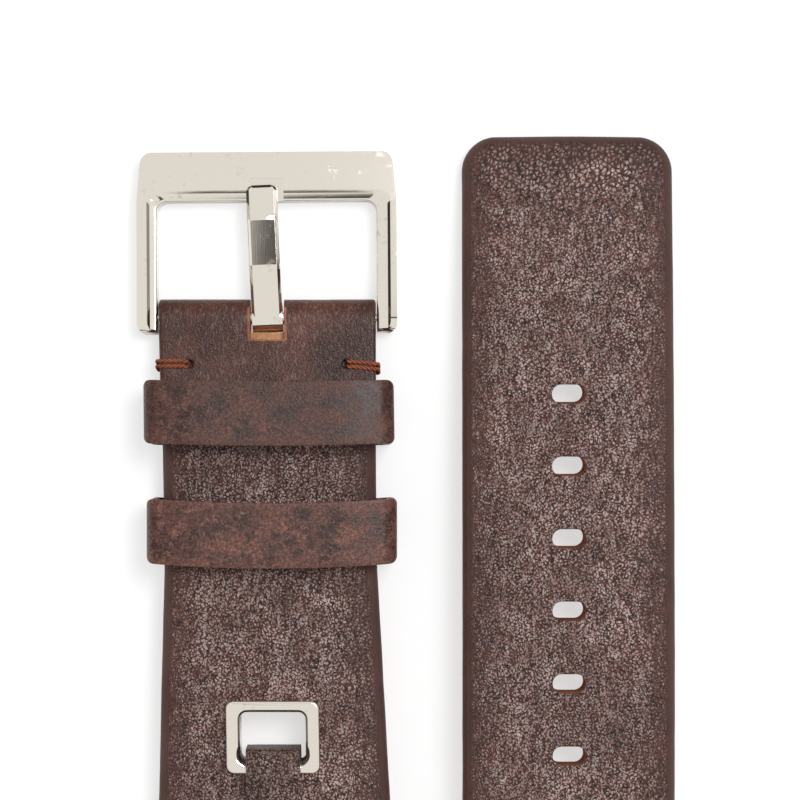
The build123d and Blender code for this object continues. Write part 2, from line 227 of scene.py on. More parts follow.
# %% Places and plans
tip_corner = 3.9 * mm
tip_lean = 0.4 * mm
long_middle = (long_low.x + long_high.x) / 2
long_width = long_high.x - long_low.x
tip_y, long_end_y = long_high.y + tip_lean, long_low.y
end_corner = 2.0 * mm

short_middle = bar.x
fold_radius = 2.11 * mm
fold_y = bar_y + fold_radius
short_end_y = short_low.y
fold_width = 24.8 * mm
waist_width = 24.2 * mm
lug_width = 28.0 * mm
waist_start, waist_end = 21 * mm, 31 * mm


class Plan:
    """A half seen from above: its half width along its length, and the rounded corners of its ends."""

    def __init__(self, middle, half_width, ends):
        self.middle = middle
        self.half_width = half_width
        self.ends = ends

    def drawn_in(self, y):
        """Half the width at y, less where a corner is rounded."""
        for end, corner in self.ends:
            if abs(end - y) < corner:
                return self.half_width(y) - corner + sqrt(corner**2 - (corner - abs(end - y)) ** 2)
        return self.half_width(y)

    def inset(self, x, y):
        """How far a place lies inside the outline."""
        side = self.half_width(y) - abs(x)
        for end, corner in self.ends:
            away = abs(end - y)
            if side < corner and away < corner:
                return corner - hypot(corner - side, corner - away)
            side = min(side, away)
        return side


def short_half_width(y):
    """The short half narrows from the fold to its waist and widens to the lug end."""
    behind = fold_y - y
    if behind < waist_start:
        return (fold_width + (waist_width - fold_width) * max(behind, 0) / waist_start) / 2
    widening = max(behind - waist_end, 0) / (fold_y - short_end_y - waist_end)
    return (waist_width + (lug_width - waist_width) * widening) / 2


long_plan = Plan(long_middle, lambda y: long_width / 2, [(tip_y, tip_corner), (long_end_y, end_corner)])
short_plan = Plan(short_middle, short_half_width, [(short_end_y, end_corner)])

# %% [markdown]
# ## Colour and the nodes of a material
# Colours are written as they would be read from a screen, in hex, and turned to the linear numbers that a
# shader works in. One small function adds a node with its settings and links, and the ones after it name
# what a material is made of, so that it reads from top to bottom. All patterns use the object's own
# coordinates, in metres, and each scale is one over a real size.

# %% Colours and nodes
def linear(colour):
    """A hex colour as linear red, green and blue."""
    shares = [int(colour[place:place + 2], 16) / 255 for place in (1, 3, 5)]
    return [*(((s + 0.055) / 1.055) ** 2.4 if s > 0.04045 else s / 12.92 for s in shares), 1]


def add(tree, kind, inputs, **settings):
    """Adds one node. An input takes another node's output, or a value."""
    made = tree.nodes.new("ShaderNode" + kind)
    for name, value in settings.items():
        setattr(made, name, value)
    for name, value in inputs.items():
        if isinstance(value, bpy.types.NodeSocket):
            tree.links.new(value, made.inputs[name])
        else:
            made.inputs[name].default_value = value
    return made


def new_material(name):
    """An empty material, with its tree and the places on the piece."""
    material = bpy.data.materials.new(name)
    material.use_nodes = True
    material.node_tree.nodes.clear()
    return material, material.node_tree, add(material.node_tree, "TexCoord", {}).outputs["Object"]


def give(piece, *materials):
    """Puts materials in a piece's slots, in order."""
    piece.data.materials.clear()
    for material in materials:
        piece.data.materials.append(material)


# %% Numbers and colours in a material
def calc(tree, operation, *values, **settings):
    """One sum of these values."""
    return add(tree, "Math", dict(enumerate(values)), operation=operation, **settings).outputs[0]


def span(tree, value, low, high, start=0, end=1, **settings):
    """A value between two limits, carried over to the span from start to end."""
    inputs = {"Value": value, "From Min": low, "From Max": high, "To Min": start, "To Max": end}
    return add(tree, "MapRange", inputs, **settings).outputs[0]


def mixed(tree, share, first, second):
    """The first colour where the share is zero, the second where it is one."""
    return add(tree, "Mix", {0: share, 6: first, 7: second}, data_type="RGBA").outputs[2]


def blended(tree, share, first, second):
    """The same for two numbers."""
    return add(tree, "Mix", {0: share, 2: first, 3: second}).outputs[0]


def scaled(tree, colour, share):
    """A colour made darker or lighter."""
    return add(tree, "VectorMath", {0: colour, "Scale": share}, operation="SCALE").outputs[0]


def painted(tree, name):
    """The number of that name that is painted on the piece."""
    return add(tree, "Attribute", {}, attribute_name=name).outputs["Fac"]


# %% Patterns
def noise(tree, place, size, detail=3, roughness=0.5):
    """Clouds of one size in metres, between zero and one."""
    inputs = {"Vector": place, "Scale": 1 / size, "Detail": detail, "Roughness": roughness}
    return add(tree, "TexNoise", inputs).outputs[0]


def thin_lines(tree, place, size, detail, roughness, width, strength):
    """Fine crooked lines, where the clouds cross their middle value."""
    away = calc(tree, "SUBTRACT", noise(tree, place, size, detail, roughness), 0.5)
    return span(tree, calc(tree, "ABSOLUTE", away), 0, width, strength, 0)


def drifted(tree, place, size, reach, detail, roughness=0.5):
    """Places moved about by a noise, so that a pattern loses its rows."""
    drift = {"Vector": place, "Scale": 1 / size, "Detail": detail, "Roughness": roughness}
    drift = add(tree, "TexNoise", drift).outputs["Color"]
    offset = add(tree, "VectorMath", {0: drift, 1: (0.5, 0.5, 0.5)}, operation="SUBTRACT").outputs[0]
    return add(tree, "VectorMath", {0: place, 1: scaled(tree, offset, reach)}).outputs[0]


def slanted(tree, place, degrees, stretch):
    """Places turned as seen from above and stretched, so that a pattern runs in slanting streaks."""
    inputs = {"Vector": place, "Rotation": (0, 0, radians(degrees)), "Scale": (1, stretch, 1)}
    return add(tree, "Mapping", inputs).outputs[0]


# %% Surfaces
def bumped(tree, height, depth, **under):
    """Normals that follow a height, the depth in metres."""
    return add(tree, "Bump", {"Height": height, "Strength": 1, "Distance": depth, **under}).outputs[0]


def coat(tree, colour, roughness, normal, **more):
    """Ends a material with a surface."""
    inputs = {"Base Color": colour, "Roughness": roughness, "Normal": normal}
    inputs.update({name.replace("_", " "): value for name, value in more.items()})
    add(tree, "OutputMaterial", {"Surface": add(tree, "BsdfPrincipled", inputs).outputs[0]})


# %% [markdown]
# ## Brown leather
# The outside is vegetable-tanned cowhide, milled soft and dyed through: rounded pebbles of grain with creases
# between them, a reddish fibre where the dye has rubbed thin, and a dull wax shine. Light and shade are
# painted into the colour as well: a painted shade darkens the creases, and in scattered patches a pale
# painted highlight lies on the pebble tops. A picture of leather would be the quick way, but a procedure
# keeps its scale on every piece. The pebbles are flat cells of a third of a millimetre, half as large again
# near the tip, bent by a slow noise so that no row shows, and slid sideways with height so that they cover
# the edges too. Where the leather is rolled over an edge it is pressed smooth and darker, partly its own
# edge colour and partly painted shade, and a faint painted shade reaches a few millimetres further in.
# Where it is pulled over the bar it turns darker and redder, with fine slanting lines of painted glint.
# Both are read from numbers painted on the piece.

# %% Brown leather
tip_pebbles, grit_share = 1.55, 0.7
# The second size is that of the patches in which the painted highlight shows.
rim_noise_size, highlight_spread_size, patch_size = 1.2 * mm, 2.4 * mm, 7 * mm
drift_size, drift_reach = 0.8 * mm, 0.5 * mm
wrinkle_size, strand_size, line_size = 0.45 * mm, 1.3 * mm, 0.22 * mm
pebble_turn, wrinkle_turn = -30, -38
edge_slide = (0.8, -0.6, 0)


def unrolled(tree, place):
    """Places slid sideways with height, so that a pattern in x and y also covers the edges."""
    height = add(tree, "SeparateXYZ", {0: place}).outputs[2]
    inputs = {0: height, 1: edge_slide, 2: place}
    return add(tree, "VectorMath", inputs, operation="MULTIPLY_ADD").outputs[0]


def pebbled(tree, place, size):
    """Rounded pebbles of one size in metres, zero in the creases and one on top."""
    flat = {"Vector": place, "Scale": 1 / size}
    middle = add(tree, "TexVoronoi", flat, voronoi_dimensions="2D").outputs[0]
    border = add(tree, "TexVoronoi", flat, voronoi_dimensions="2D", feature="DISTANCE_TO_EDGE").outputs[0]
    crease = span(tree, border, 0, 0.2, interpolation_type="SMOOTHSTEP")
    return calc(tree, "MULTIPLY", span(tree, middle, 0.05, 0.7, 1, 0.2), crease)


def grain(tree, bent, pebble, full, rim):
    """The height of pebbles, grit and folds, flat where the leather is pressed over an edge."""
    drawn = slanted(tree, unrolled(tree, bent), pebble_turn, 0.8)
    sizes = pebbled(tree, drawn, pebble), pebbled(tree, drawn, tip_pebbles * pebble)
    grit = span(tree, noise(tree, bent, grit_share * pebble, 2), 0.36, 0.64)
    pebbles = blended(tree, span(tree, full, 0, 1, 0.5, 0.14), blended(tree, full, *sizes), grit)
    folds = noise(tree, slanted(tree, bent, wrinkle_turn, 0.3), wrinkle_size)
    height = calc(tree, "ADD", pebbles, span(tree, folds, 0.35, 0.65, -0.15, 0.15))
    return calc(tree, "MULTIPLY", height, span(tree, rim, 0, 1, 1, 0.12))


def brown_leather(name, pebble, depth, fibre, colours, shine):
    """Pebbled leather. Sizes in metres; fibre is how strongly the red fibres show."""
    crease_shade_colour, grain_colour, highlight_colour, fibre_colour, rim_and_shade_colour = [linear(colour) for colour in colours]
    material, tree, place = new_material(name)
    pull, full = painted(tree, "pull"), painted(tree, "full grain")
    # The rim mask: the rolled edge and a wide faint painted shade inside it, made uneven by a noise.
    rim = calc(tree, "MULTIPLY_ADD", noise(tree, place, rim_noise_size), 0.7, painted(tree, "rim"))
    rim = span(tree, rim, 0.35, 1.3)
    bent = drifted(tree, place, drift_size, drift_reach, 3)
    relief = grain(tree, bent, pebble, full, rim)
    bump = bumped(tree, calc(tree, "MULTIPLY", relief, span(tree, pull, 0, 1, 1, 0.35)), depth)

    # Colour. The creases are given a painted shade, and the tops of the pebbles, where a slow noise allows, a
    # painted highlight.
    relief = blended(tree, calc(tree, "MULTIPLY", pull, 0.65), relief, 0.42)
    low = span(tree, relief, 0.08, 0.45, interpolation_type="SMOOTHSTEP")
    highlight_spread = span(tree, noise(tree, place, highlight_spread_size), 0.36, 0.64, 0.45)
    highlight_spread = calc(tree, "MULTIPLY", highlight_spread, span(tree, pull, 0, 1, 1, 0.4))
    high = calc(tree, "MULTIPLY", span(tree, relief, 0.44, 0.7), highlight_spread)
    hide = mixed(tree, high, mixed(tree, low, crease_shade_colour, grain_colour), highlight_colour)

    strands = thin_lines(tree, bent, strand_size, 7, 0.75, 0.045, 1)
    strands = calc(tree, "MULTIPLY", strands, calc(tree, "MULTIPLY_ADD", pull, 0.6, fibre), use_clamp=True)
    # Painted glints: fine slanting lines in the highlight colour, where the leather is pulled over the bar.
    lines = span(tree, noise(tree, slanted(tree, bent, wrinkle_turn, 0.22), line_size), 0.52, 0.7)
    glint = calc(tree, "MULTIPLY", calc(tree, "MULTIPLY", lines, pull), 0.6, use_clamp=True)
    hide = mixed(tree, strands, hide, fibre_colour)
    hide = mixed(tree, calc(tree, "MULTIPLY", pull, 0.5), hide, fibre_colour)
    hide = mixed(tree, glint, hide, highlight_colour)
    # The rim colour: partly the rolled edge's own darker colour, partly painted shade where the edge turns
    # from the light.
    hide = mixed(tree, calc(tree, "MULTIPLY", rim, 0.85, use_clamp=True), hide, rim_and_shade_colour)
    patch = span(tree, noise(tree, place, patch_size, 4), 0.3, 0.7, 0.8, 1.2)
    hide = scaled(tree, hide, calc(tree, "MULTIPLY_ADD", pull, -0.64, patch))
    coat(tree, hide, span(tree, low, 0, 1, shine + 0.25, shine), bump, IOR=1.5, Specular_IOR_Level=0.2)
    return material


# Colours in order: crease shade, grain, highlight, fibre, rim. The first is a painted shade in the creases,
# the third a painted highlight on the pebble tops, and the rim colour is partly the edge's own and partly
# painted shade.
face_leather = brown_leather(
    "milled cowhide", 0.33 * mm, 0.09 * mm, 0.3,
    ("#140b0a", "#422b26", "#a59490", "#804837", "#4a332e"), 0.3,
)
strip_leather = brown_leather(
    "soft cowhide strip", 0.33 * mm, 0.08 * mm, 0.12,
    ("#140b09", "#422d28", "#96827c", "#6b483c", "#3f2a24"), 0.3,
)

# %% [markdown]
# ## Waxed leather for the loops
# The loops are cut from a smoother part of the hide and waxed by hand. The wax leaves dark clouds a few
# millimetres wide, and where the leather was folded round, fine reddish veins open between them. The veins
# are thin lines of a noise, strongest along the borders of large cells. A speckle of fibres lies over all,
# and a number painted on the piece darkens a whole loop as painted shade: the fixed loop is painted darker.

# %% Waxed leather
cloud_size, cell_size, vein_size, fibre_size = 2.6 * mm, 3.4 * mm, 0.9 * mm, 0.26 * mm
fray_size, fray_reach = 1.0 * mm, 1.6 * mm
# How dark the painted shade leaves a loop where it is full.
full_loop_shade = 0.68


def waxed_leather(name, cloud_colour, body_colour, vein_colour, edge_colour):
    """Almost smooth leather with dark clouds, red veins and rubbed edges."""
    material, tree, place = new_material(name)
    bent = drifted(tree, place, fray_size, fray_reach, 6, 0.7)
    clouds = span(tree, noise(tree, bent, cloud_size, 5, 0.6), 0.4, 0.6)
    cells = {"Vector": bent, "Scale": 1 / cell_size}
    cells = add(tree, "TexVoronoi", cells, feature="DISTANCE_TO_EDGE").outputs[0]
    veins = thin_lines(tree, bent, vein_size, 5, 0.65, 0.035, 0.6)
    veins = calc(tree, "MULTIPLY", veins, span(tree, cells, 0, 0.16, 1, 0.35))
    fibres = noise(tree, place, fibre_size)
    hide = mixed(tree, clouds, linear(cloud_colour), linear(body_colour))
    hide = mixed(tree, veins, hide, linear(vein_colour))
    rubbed = calc(tree, "MULTIPLY", painted(tree, "rim"), 0.6, use_clamp=True)
    hide = mixed(tree, rubbed, hide, linear(edge_colour))
    # Painted shade: the whole loop is darkened by the number painted on it.
    painted_loop_shade = span(tree, painted(tree, "painted_loop_shade"), 0, 1, 1, full_loop_shade)
    hide = scaled(tree, hide, calc(tree, "MULTIPLY", span(tree, fibres, 0.32, 0.68, 0.5, 1.45), painted_loop_shade))
    bump = bumped(tree, calc(tree, "MULTIPLY_ADD", veins, -0.3, fibres), 0.04 * mm)
    coat(tree, hide, span(tree, clouds, 0, 1, 0.32, 0.42), bump, IOR=1.5, Specular_IOR_Level=0.22)
    return material


keeper_leather = waxed_leather("waxed cowhide", "#352320", "#563730", "#a0705f", "#5f3c32")

# %% [markdown]
# ## Tan leather, cut edges and thread
# Inside, the strap is lined with undyed calf, paler and almost smooth. Where a slot is punched or an edge
# is cut, the fibres stand end on: a matt rust brown with short streaks. The thread is waxed linen, and its
# twist is modelled, so its material only has to carry the fibres.

# %% Lining, cut edge and thread
blotch_size = 4 * mm


def plain_fibre(name, dark, light, length, width, depth, roughness):
    """A matt fibrous finish: streaks of one length and width, in metres."""
    material, tree, place = new_material(name)
    drawn = add(tree, "Mapping", {"Vector": place, "Scale": (1 / width, 1 / length, 1 / width)}).outputs[0]
    streak = noise(tree, drawn, 1, 5, 0.6)
    share = span(tree, calc(tree, "ADD", streak, noise(tree, place, blotch_size, 4)), 0.75, 1.25)
    colour = mixed(tree, share, linear(dark), linear(light))
    coat(tree, colour, roughness, bumped(tree, streak, depth), Specular_IOR_Level=0.35)
    return material


lining_leather = plain_fibre("undyed calf", "#8f6340", "#ba8a62", 0.5 * mm, 0.3 * mm, 0.03 * mm, 0.6)
cut_edge = plain_fibre("cut leather edge", "#6e3f2c", "#a5694b", 0.3 * mm, 0.3 * mm, 0.04 * mm, 0.7)
thread = plain_fibre("waxed linen thread", "#5a2919", "#a35a38", 0.25 * mm, 0.06 * mm, 0.02 * mm, 0.5)

# %% [markdown]
# ## Metal
# The buckle, its tang and the eyelets are nickel-plated and polished, so what the eye sees is mostly their
# surroundings, tinted warm. Polishing by hand leaves a faint waviness and a few fine scratches, which is
# what keeps such a face from looking like a computer's mirror. The spring bar is turned stainless steel.

# %% Nickel and steel
wave_size, scratch_size, spot_size = 5 * mm, 0.12 * mm, 2.4 * mm
scratch_turn, spot_dulling = 25, 0.12


def polished_metal(name, colour, worn, roughness, wave_depth, scratch_depth):
    """A metal with slow waves, fine scratches and a few dull spots."""
    material, tree, place = new_material(name)
    waves = bumped(tree, noise(tree, place, wave_size, 1), wave_depth)
    scratches = noise(tree, slanted(tree, place, scratch_turn, 0.04), scratch_size)
    bump = bumped(tree, scratches, scratch_depth, Normal=waves)
    spots = span(tree, noise(tree, place, spot_size, 6, 0.7), 0.6, 0.72)
    tint = mixed(tree, spots, linear(colour), linear(worn))
    coat(tree, tint, span(tree, spots, 0, 1, roughness, roughness + spot_dulling), bump, Metallic=1.0)
    return material


nickel = polished_metal("polished nickel plate", "#ded7cc", "#c3bab0", 0.06, 0.004 * mm, 0.0004 * mm)
bar_steel = polished_metal("turned stainless steel", "#c4c1bc", "#a9a5a0", 0.22, 0, 0.002 * mm)

# %% [markdown]
# ## The long half: a flat blank
# A strap maker cuts a blank, pads it and turns its edges. The same order works here. The blank is a grid
# in half-millimetre squares, so that it can take a crown and an arch, with closer lines along its edges,
# where the leather is rolled. Cutting those lines with a bisect is the scripted form of a loop cut.

# %% A blank in small squares
square = 0.5 * mm
edge_lines = [0.1 * mm, 0.25 * mm, 0.45 * mm, 0.7 * mm, 0.95 * mm, 1.2 * mm]


def line_across(x=None, y=None, z=None):
    """Cuts a line of edges through everything, at one place along an axis."""
    place = [x or 0, y or 0, z or 0]
    normal = [float(x is not None), float(y is not None), float(z is not None)]
    bpy.ops.mesh.select_all(action="SELECT")
    bpy.ops.mesh.bisect(plane_co=place, plane_no=normal, threshold=weld_gap)


def blank(name, width, rear, front, thick, close_ends, levels=(0.5,)):
    """A flat slab from the rear to the front, its underside at zero, its squares closer at its edges."""
    length = front - rear
    counts = {"x_subdivisions": round(width / square), "y_subdivisions": round(length / square)}
    piece = start("grid", name, size=1, **counts)
    edit(piece, "SELECT")
    bpy.ops.transform.resize(value=(width, length, 1))
    bpy.ops.transform.translate(value=(0, (rear + front) / 2, 0))
    for away in edge_lines:
        line_across(x=width / 2 - away)
        line_across(x=away - width / 2)
        for end, inwards in close_ends:
            line_across(y=end + inwards * away)
    bpy.ops.mesh.select_all(action="SELECT")
    draw_out(z=thick)
    for share in levels:
        line_across(z=share * thick)
    leave()
    weld(piece)
    return piece


long_face = blank("long_face", long_width, long_end_y, tip_y, strap_thick, [(tip_y, -1), (long_end_y, 1)])
print("long blank:", len(long_face.data.polygons), "faces", [round(v / mm, 2) for v in long_face.dimensions])

# %% [markdown]
# ## Crown, rolled edges and the recess for the lining
# The padding makes the face bulge towards the middle, and the face leather is rolled down over the edges
# and pressed in a shallow groove just inside them. On the underside it leaves a recess, where the lining
# is glued. These heights depend only on how far a place is from the outline, so one formula gives them to
# every point of the flat blank, and the same formula serves both halves.

# %% Shape a padded blank
crown = 0.7 * mm
groove_inset, groove_width, groove_depth = 1.5 * mm, 0.35 * mm, 0.05 * mm
lining_thick = 0.8 * mm
lining_overlap = 0.15 * mm
lining_inset = 0.6 * mm
lining_proud = 0.05 * mm
under_round = 0.3 * mm


def rolled(inset, radius):
    """How far a rolled edge has fallen, at an inset from the outline."""
    short = min(max(radius - inset, 0), radius)
    return radius - sqrt(radius**2 - short**2)


def groove(inset):
    """The shallow groove that the edge press leaves."""
    return groove_depth * max(0, 1 - ((inset - groove_inset) / groove_width) ** 2)


def shape_padding(piece, plan, blank_width, crown_at, roll_at, swell_at, tip_fall, lining_front, nose=None):
    """Turns a flat blank into padded leather, flat on its underside but for the lining's recess."""

    def formula(x, y, z):
        along = y if nose is None else min(y, nose)
        x *= 2 * plan.drawn_in(along) / blank_width
        inset = plan.inset(x, along)
        swell = swell_at(along)
        high = strap_thick + swell - crown_at(along) * (x / plan.half_width(along)) ** 2
        high -= rolled(inset, roll_at(along)) + tip_fall(along)
        high -= groove(inset) * min(1, crown_at(along) / crown)
        low = rolled(inset, under_round) - swell + lining_proud
        if inset > lining_inset + lining_overlap and along < lining_front:
            low = lining_thick
        # The turn round the bar is stretched along with the thickness there, so that it stays round.
        if nose is not None and y > nose:
            y = nose + (y - nose) * (high - low) / strap_thick
        return x + plan.middle, y, low + z / strap_thick * (high - low)

    reshape(piece, formula)


long_roll = 1.25 * mm
tip_fall_reach, tip_fall_depth = 9 * mm, 0.45 * mm


def unchanged(y):
    """No change of height anywhere along a half."""
    return 0


def long_tip_fall(y):
    """The padding thins out towards the tip."""
    return tip_fall_depth * max(0, 1 - (tip_y - y) / tip_fall_reach) ** 2


shape_padding(
    long_face, long_plan, long_width, lambda y: crown, lambda y: long_roll, unchanged, long_tip_fall,
    long_plan.ends[0][0] - lining_inset - lining_overlap,
)

# %% [markdown]
# ## Punches
# Slots and holes are cut with punches: upright blocks with rounded corners, subtracted from the leather.
# A round punch pushes the grain down a little round its hole, so the punch flares at the top in a quarter
# round, and the boolean leaves that soft lip. The wall takes the punch's material, the cut edge, and the
# lip takes the face leather's. The slots were all punched in one direction while the strap lay curved, so
# each slants a little more than the one before, and all of them lean slightly to one side.

# %% Upright blocks and punches
corner_steps, edge_steps = 8, 6


def block(name, width, length, corner, low, high, x=0, y=0, segments=corner_steps):
    """An upright block with rounded corners in plan."""
    piece = start("plane", name, size=1)
    edit(piece, "SELECT")
    bpy.ops.transform.resize(value=(width, length, 1))
    bpy.ops.transform.translate(value=(x, y, low))
    bpy.ops.mesh.bevel(offset=corner, segments=segments, affect="VERTICES")
    bpy.ops.mesh.select_all(action="SELECT")
    draw_out(z=high - low)
    leave()
    weld(piece)
    return piece


lip_steps = 4
punch_run = 1.0 * mm


def punch(width, length, corner, top, lip, x, y, wall, face, bottom=-punch_run):
    """A block that cuts right through, or to a depth, with a flared top of the face leather's material."""
    piece = block("punch", width, length, corner, bottom, top - lip, x, y)
    give(piece, wall, face)
    edit(piece)
    pick("FACE", lambda middle, points: min(point.z for point in points) > top - lip - weld_gap)
    wide, long = width / 2, length / 2
    for step in range(1, lip_steps + 1):
        turn = pi / 2 * step / lip_steps
        out = lip * (1 - cos(turn))
        rise = lip * (sin(turn) - sin(turn - pi / 2 / lip_steps))
        draw_out(z=rise)
        scale = ((width / 2 + out) / wide, (length / 2 + out) / long, 1)
        bpy.ops.transform.resize(value=scale, center_override=(x, y, top))
        wide, long = width / 2 + out, length / 2 + out
    draw_out(z=punch_run)
    pick("FACE", lambda middle, points: middle.z > top - lip + weld_gap)
    bpy.context.object.active_material_index = 1
    bpy.ops.object.material_slot_assign()
    leave()
    weld(piece)
    return piece


first_slot = 29.3 * mm + tip_lean
slot_pitch = 8.16 * mm
slot_count = 6
slot_length, slot_width = 3.8 * mm, 2.15 * mm
slot_lip = 0.22 * mm
slot_slant, slot_aside = 0.05, 0.07
slot_corner = 0.98


def slot_punches(top, lip, wall, face):
    """The six adjusting slots, as punches in the flat strap."""
    places = [tip_y - first_slot - slot_pitch * number for number in range(slot_count)]
    corner = slot_width / 2 * slot_corner
    made = [punch(slot_length, slot_width, corner, top, lip, long_middle, y, wall, face) for y in places]
    for piece, place in zip(made, places):
        slant = slot_slant + (place - long_arch.y) / arch_radius

        def slide(x, y, z):
            deep = max(0, strap_thick - slot_lip - z)
            return x - slot_aside * deep, y + slant * deep, z

        reshape(piece, slide)
    return made


# %% Cut the long face
give(long_face, face_leather)
cut(long_face, *slot_punches(strap_thick, slot_lip, cut_edge, face_leather))
print("long face with slots has", [material.name for material in long_face.data.materials])

# %% [markdown]
# ## Finish the long face
# The eyelet's barrel needs its hole. Then the rolled edge, with a faint painted shade inside it, is painted
# on the piece as a number for the leather to read, a displacement of a few hundredths of a millimetre takes
# away the machine flatness, and the whole is laid on its arch, as every other flat piece will be.

# %% Eyelet hole, ripple, arch
ripple_size, ripple_depth = 5 * mm, 0.07 * mm
eyelet_barrel = (8.2 * mm, 6.4 * mm)
eyelet_corner = 1.2 * mm
rim_reach, rim_slope = 1.3 * mm, 2.2
# Painted shade: a faint darkening that reaches this far in from the outline, this strong at the outline.
shade_reach, rim_shade = 4.5 * mm, 0.45
full_grain_reach = 16 * mm


def flat_middle(node, arch):
    """Where the middle of a solid piece is along its flat half."""
    low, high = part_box(node)
    return arch.flat((low.y + high.y) / 2, (low.z + high.z) / 2)


def eyelet_punch(plan, y):
    """The hole that an eyelet's barrel fills."""
    hole = block("punch", *eyelet_barrel, eyelet_corner, -punch_run, strap_thick + punch_run, plan.middle, y)
    give(hole, cut_edge)
    return hole


def rim_and_shade_share(plan):
    """One on the outline, falling steeply towards where the pebbled grain begins, with a faint painted shade
    that fades to zero further in.
    """
    def share(x, y, z):
        inset = max(plan.inset(x - plan.middle, y), 0)
        return max(0, min(1, rim_slope * (1 - inset / rim_reach)), rim_shade * (1 - inset / shade_reach))
    return share


def ripple(piece):
    """Takes away the machine flatness."""
    texture = bpy.data.textures.new("hide ripple", "CLOUDS")
    texture.noise_scale = ripple_size
    apply(piece, "DISPLACE", texture=texture, strength=ripple_depth, mid_level=0.5, texture_coords="LOCAL")


def lay(piece, arch):
    """Lays a flat piece on the arch of its half."""
    reshape(piece, arch.bend)


def settle(piece, body, slot, *nodes):
    """Puts a piece in the place of its solids, with the body it moves with. The name of its finish is not
    used.
    """
    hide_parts(*nodes)
    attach(piece, body)
    print(piece.name, len(piece.data.polygons), "faces", [round(v / mm, 2) for v in piece.dimensions])


def finish_leather(piece, arch, body, slot, *nodes, angle=leather_crease):
    """Lays a leather piece on its arch and puts it in the place of its solid."""
    ripple(piece)
    lay(piece, arch)
    smooth(piece, angle)
    settle(piece, body, slot, *nodes)


long_eyelet_y = flat_middle("long_eyelet", long_arch)
cut(long_face, eyelet_punch(long_plan, long_eyelet_y))
paint(long_face, "rim", rim_and_shade_share(long_plan))
paint(long_face, "full grain", lambda x, y, z: max(0, 1 - (tip_y - y) / full_grain_reach))
finish_leather(long_face, long_arch, "long_half", "brown_face_leather", "long_upper_leather", "long_filler")

# %% [markdown]
# ## The long half's lining
# The lining is a thin sheet of tan calf, glued into the recess a little inside the outline. It is the same
# kind of blank, punched with the same slots but without the lip, since a punch only drags the leather down
# where it goes in.

# %% Linings
lining_round = 0.2 * mm
lining_slack = 0.01 * mm


def lining(name, plan, rear, front, width, ends):
    """A thin sheet just inside a half's outline, with softened edges."""
    inner = Plan(plan.middle, lambda y: plan.half_width(y) - lining_inset, ends)
    piece = blank(name, width, rear, front, lining_thick - lining_slack, [], ())

    def formula(x, y, z):
        x *= 2 * inner.drawn_in(y) / width
        soft = rolled(min(inner.inset(x, y), front - y), lining_round)
        return x + inner.middle, y, z - soft if z > 0 else z + soft

    reshape(piece, formula)
    give(piece, lining_leather)
    return piece


long_lining = lining(
    "long_lining_sheet", long_plan, long_end_y + lining_inset, tip_y - lining_inset,
    long_width - 2 * lining_inset,
    [(tip_y - lining_inset, tip_corner - lining_inset / 2), (long_end_y + lining_inset, end_corner)],
)
cut(long_lining, *slot_punches(lining_thick + punch_run, slot_lip, cut_edge, cut_edge))
cut(long_lining, eyelet_punch(long_plan, long_eyelet_y))
finish_leather(long_lining, long_arch, "long_half", "tan_lining_leather", "long_lining")

# %% [markdown]
# ## The short half and its fold
# On the buckle's side the face leather runs on round the bar and back underneath, where it ends on the
# lining. In front of the fold the strap is unpadded and its edges are almost square; behind the fixed loop
# it swells into the padded shape of the long half. The blank is the same, and the turn round the bar is
# spun: the upper half of its front edge is carried half a circle about the bar, down to the lower half.

# %% Blank and fold
spin_steps = 14
fold_blend = 6 * mm
fold_return = 20 * mm
unpadded, padded_from = 9 * mm, 17 * mm
short_roll, cut_roll = 1.15 * mm, 0.35 * mm

short_face = blank("short_face", fold_width, short_end_y, bar_y, strap_thick, [(short_end_y, 1)])
edit(short_face)
pick("FACE", lambda middle, points: min(point.y for point in points) > bar_y - weld_gap)
bpy.ops.mesh.delete(type="FACE")
line_across(y=fold_y - fold_return)
line_across(y=fold_y - fold_return + edge_lines[0])
pick("EDGE", lambda middle, points: min(p.y for p in points) > bar_y - weld_gap and middle.z > strap_middle)
bpy.ops.mesh.spin(steps=spin_steps, angle=pi, center=(0, bar_y, strap_middle), axis=(1, 0, 0))
leave()
weld(short_face)
print("short blank reaches", round(short_face.bound_box[6][1] / mm, 2), "fold edge", round(fold_y / mm, 2))


# %% Padding of the short half
def ease(share):
    """A smooth step from zero to one."""
    share = max(0, min(1, share))
    return share * share * (3 - 2 * share)


def padded_share(y):
    """Zero at the fold, one where the padding is full."""
    return ease((fold_y - y - unpadded) / (padded_from - unpadded))


def fold_swell(y):
    """How much thicker each side of the middle is, where the leather goes round the bar."""
    return (fold_radius - strap_middle) * ease(1 - (bar_y - y) / fold_blend)


shape_padding(
    short_face, short_plan, fold_width, lambda y: crown * padded_share(y),
    lambda y: cut_roll + (short_roll - cut_roll) * padded_share(y), fold_swell, unchanged,
    fold_y - fold_return + edge_lines[0] / 2, nose=bar_y,
)

# %% [markdown]
# ## Inside the fold
# The fold is lined too: a tan strip goes round the bar inside the face leather, and both its ends are
# caught between the layers. It shows as a pale line at the sides of the fold and in the cut-out for the
# tang. It is a round and a flat block joined. The same shape, made longer, cuts its own room in the face.

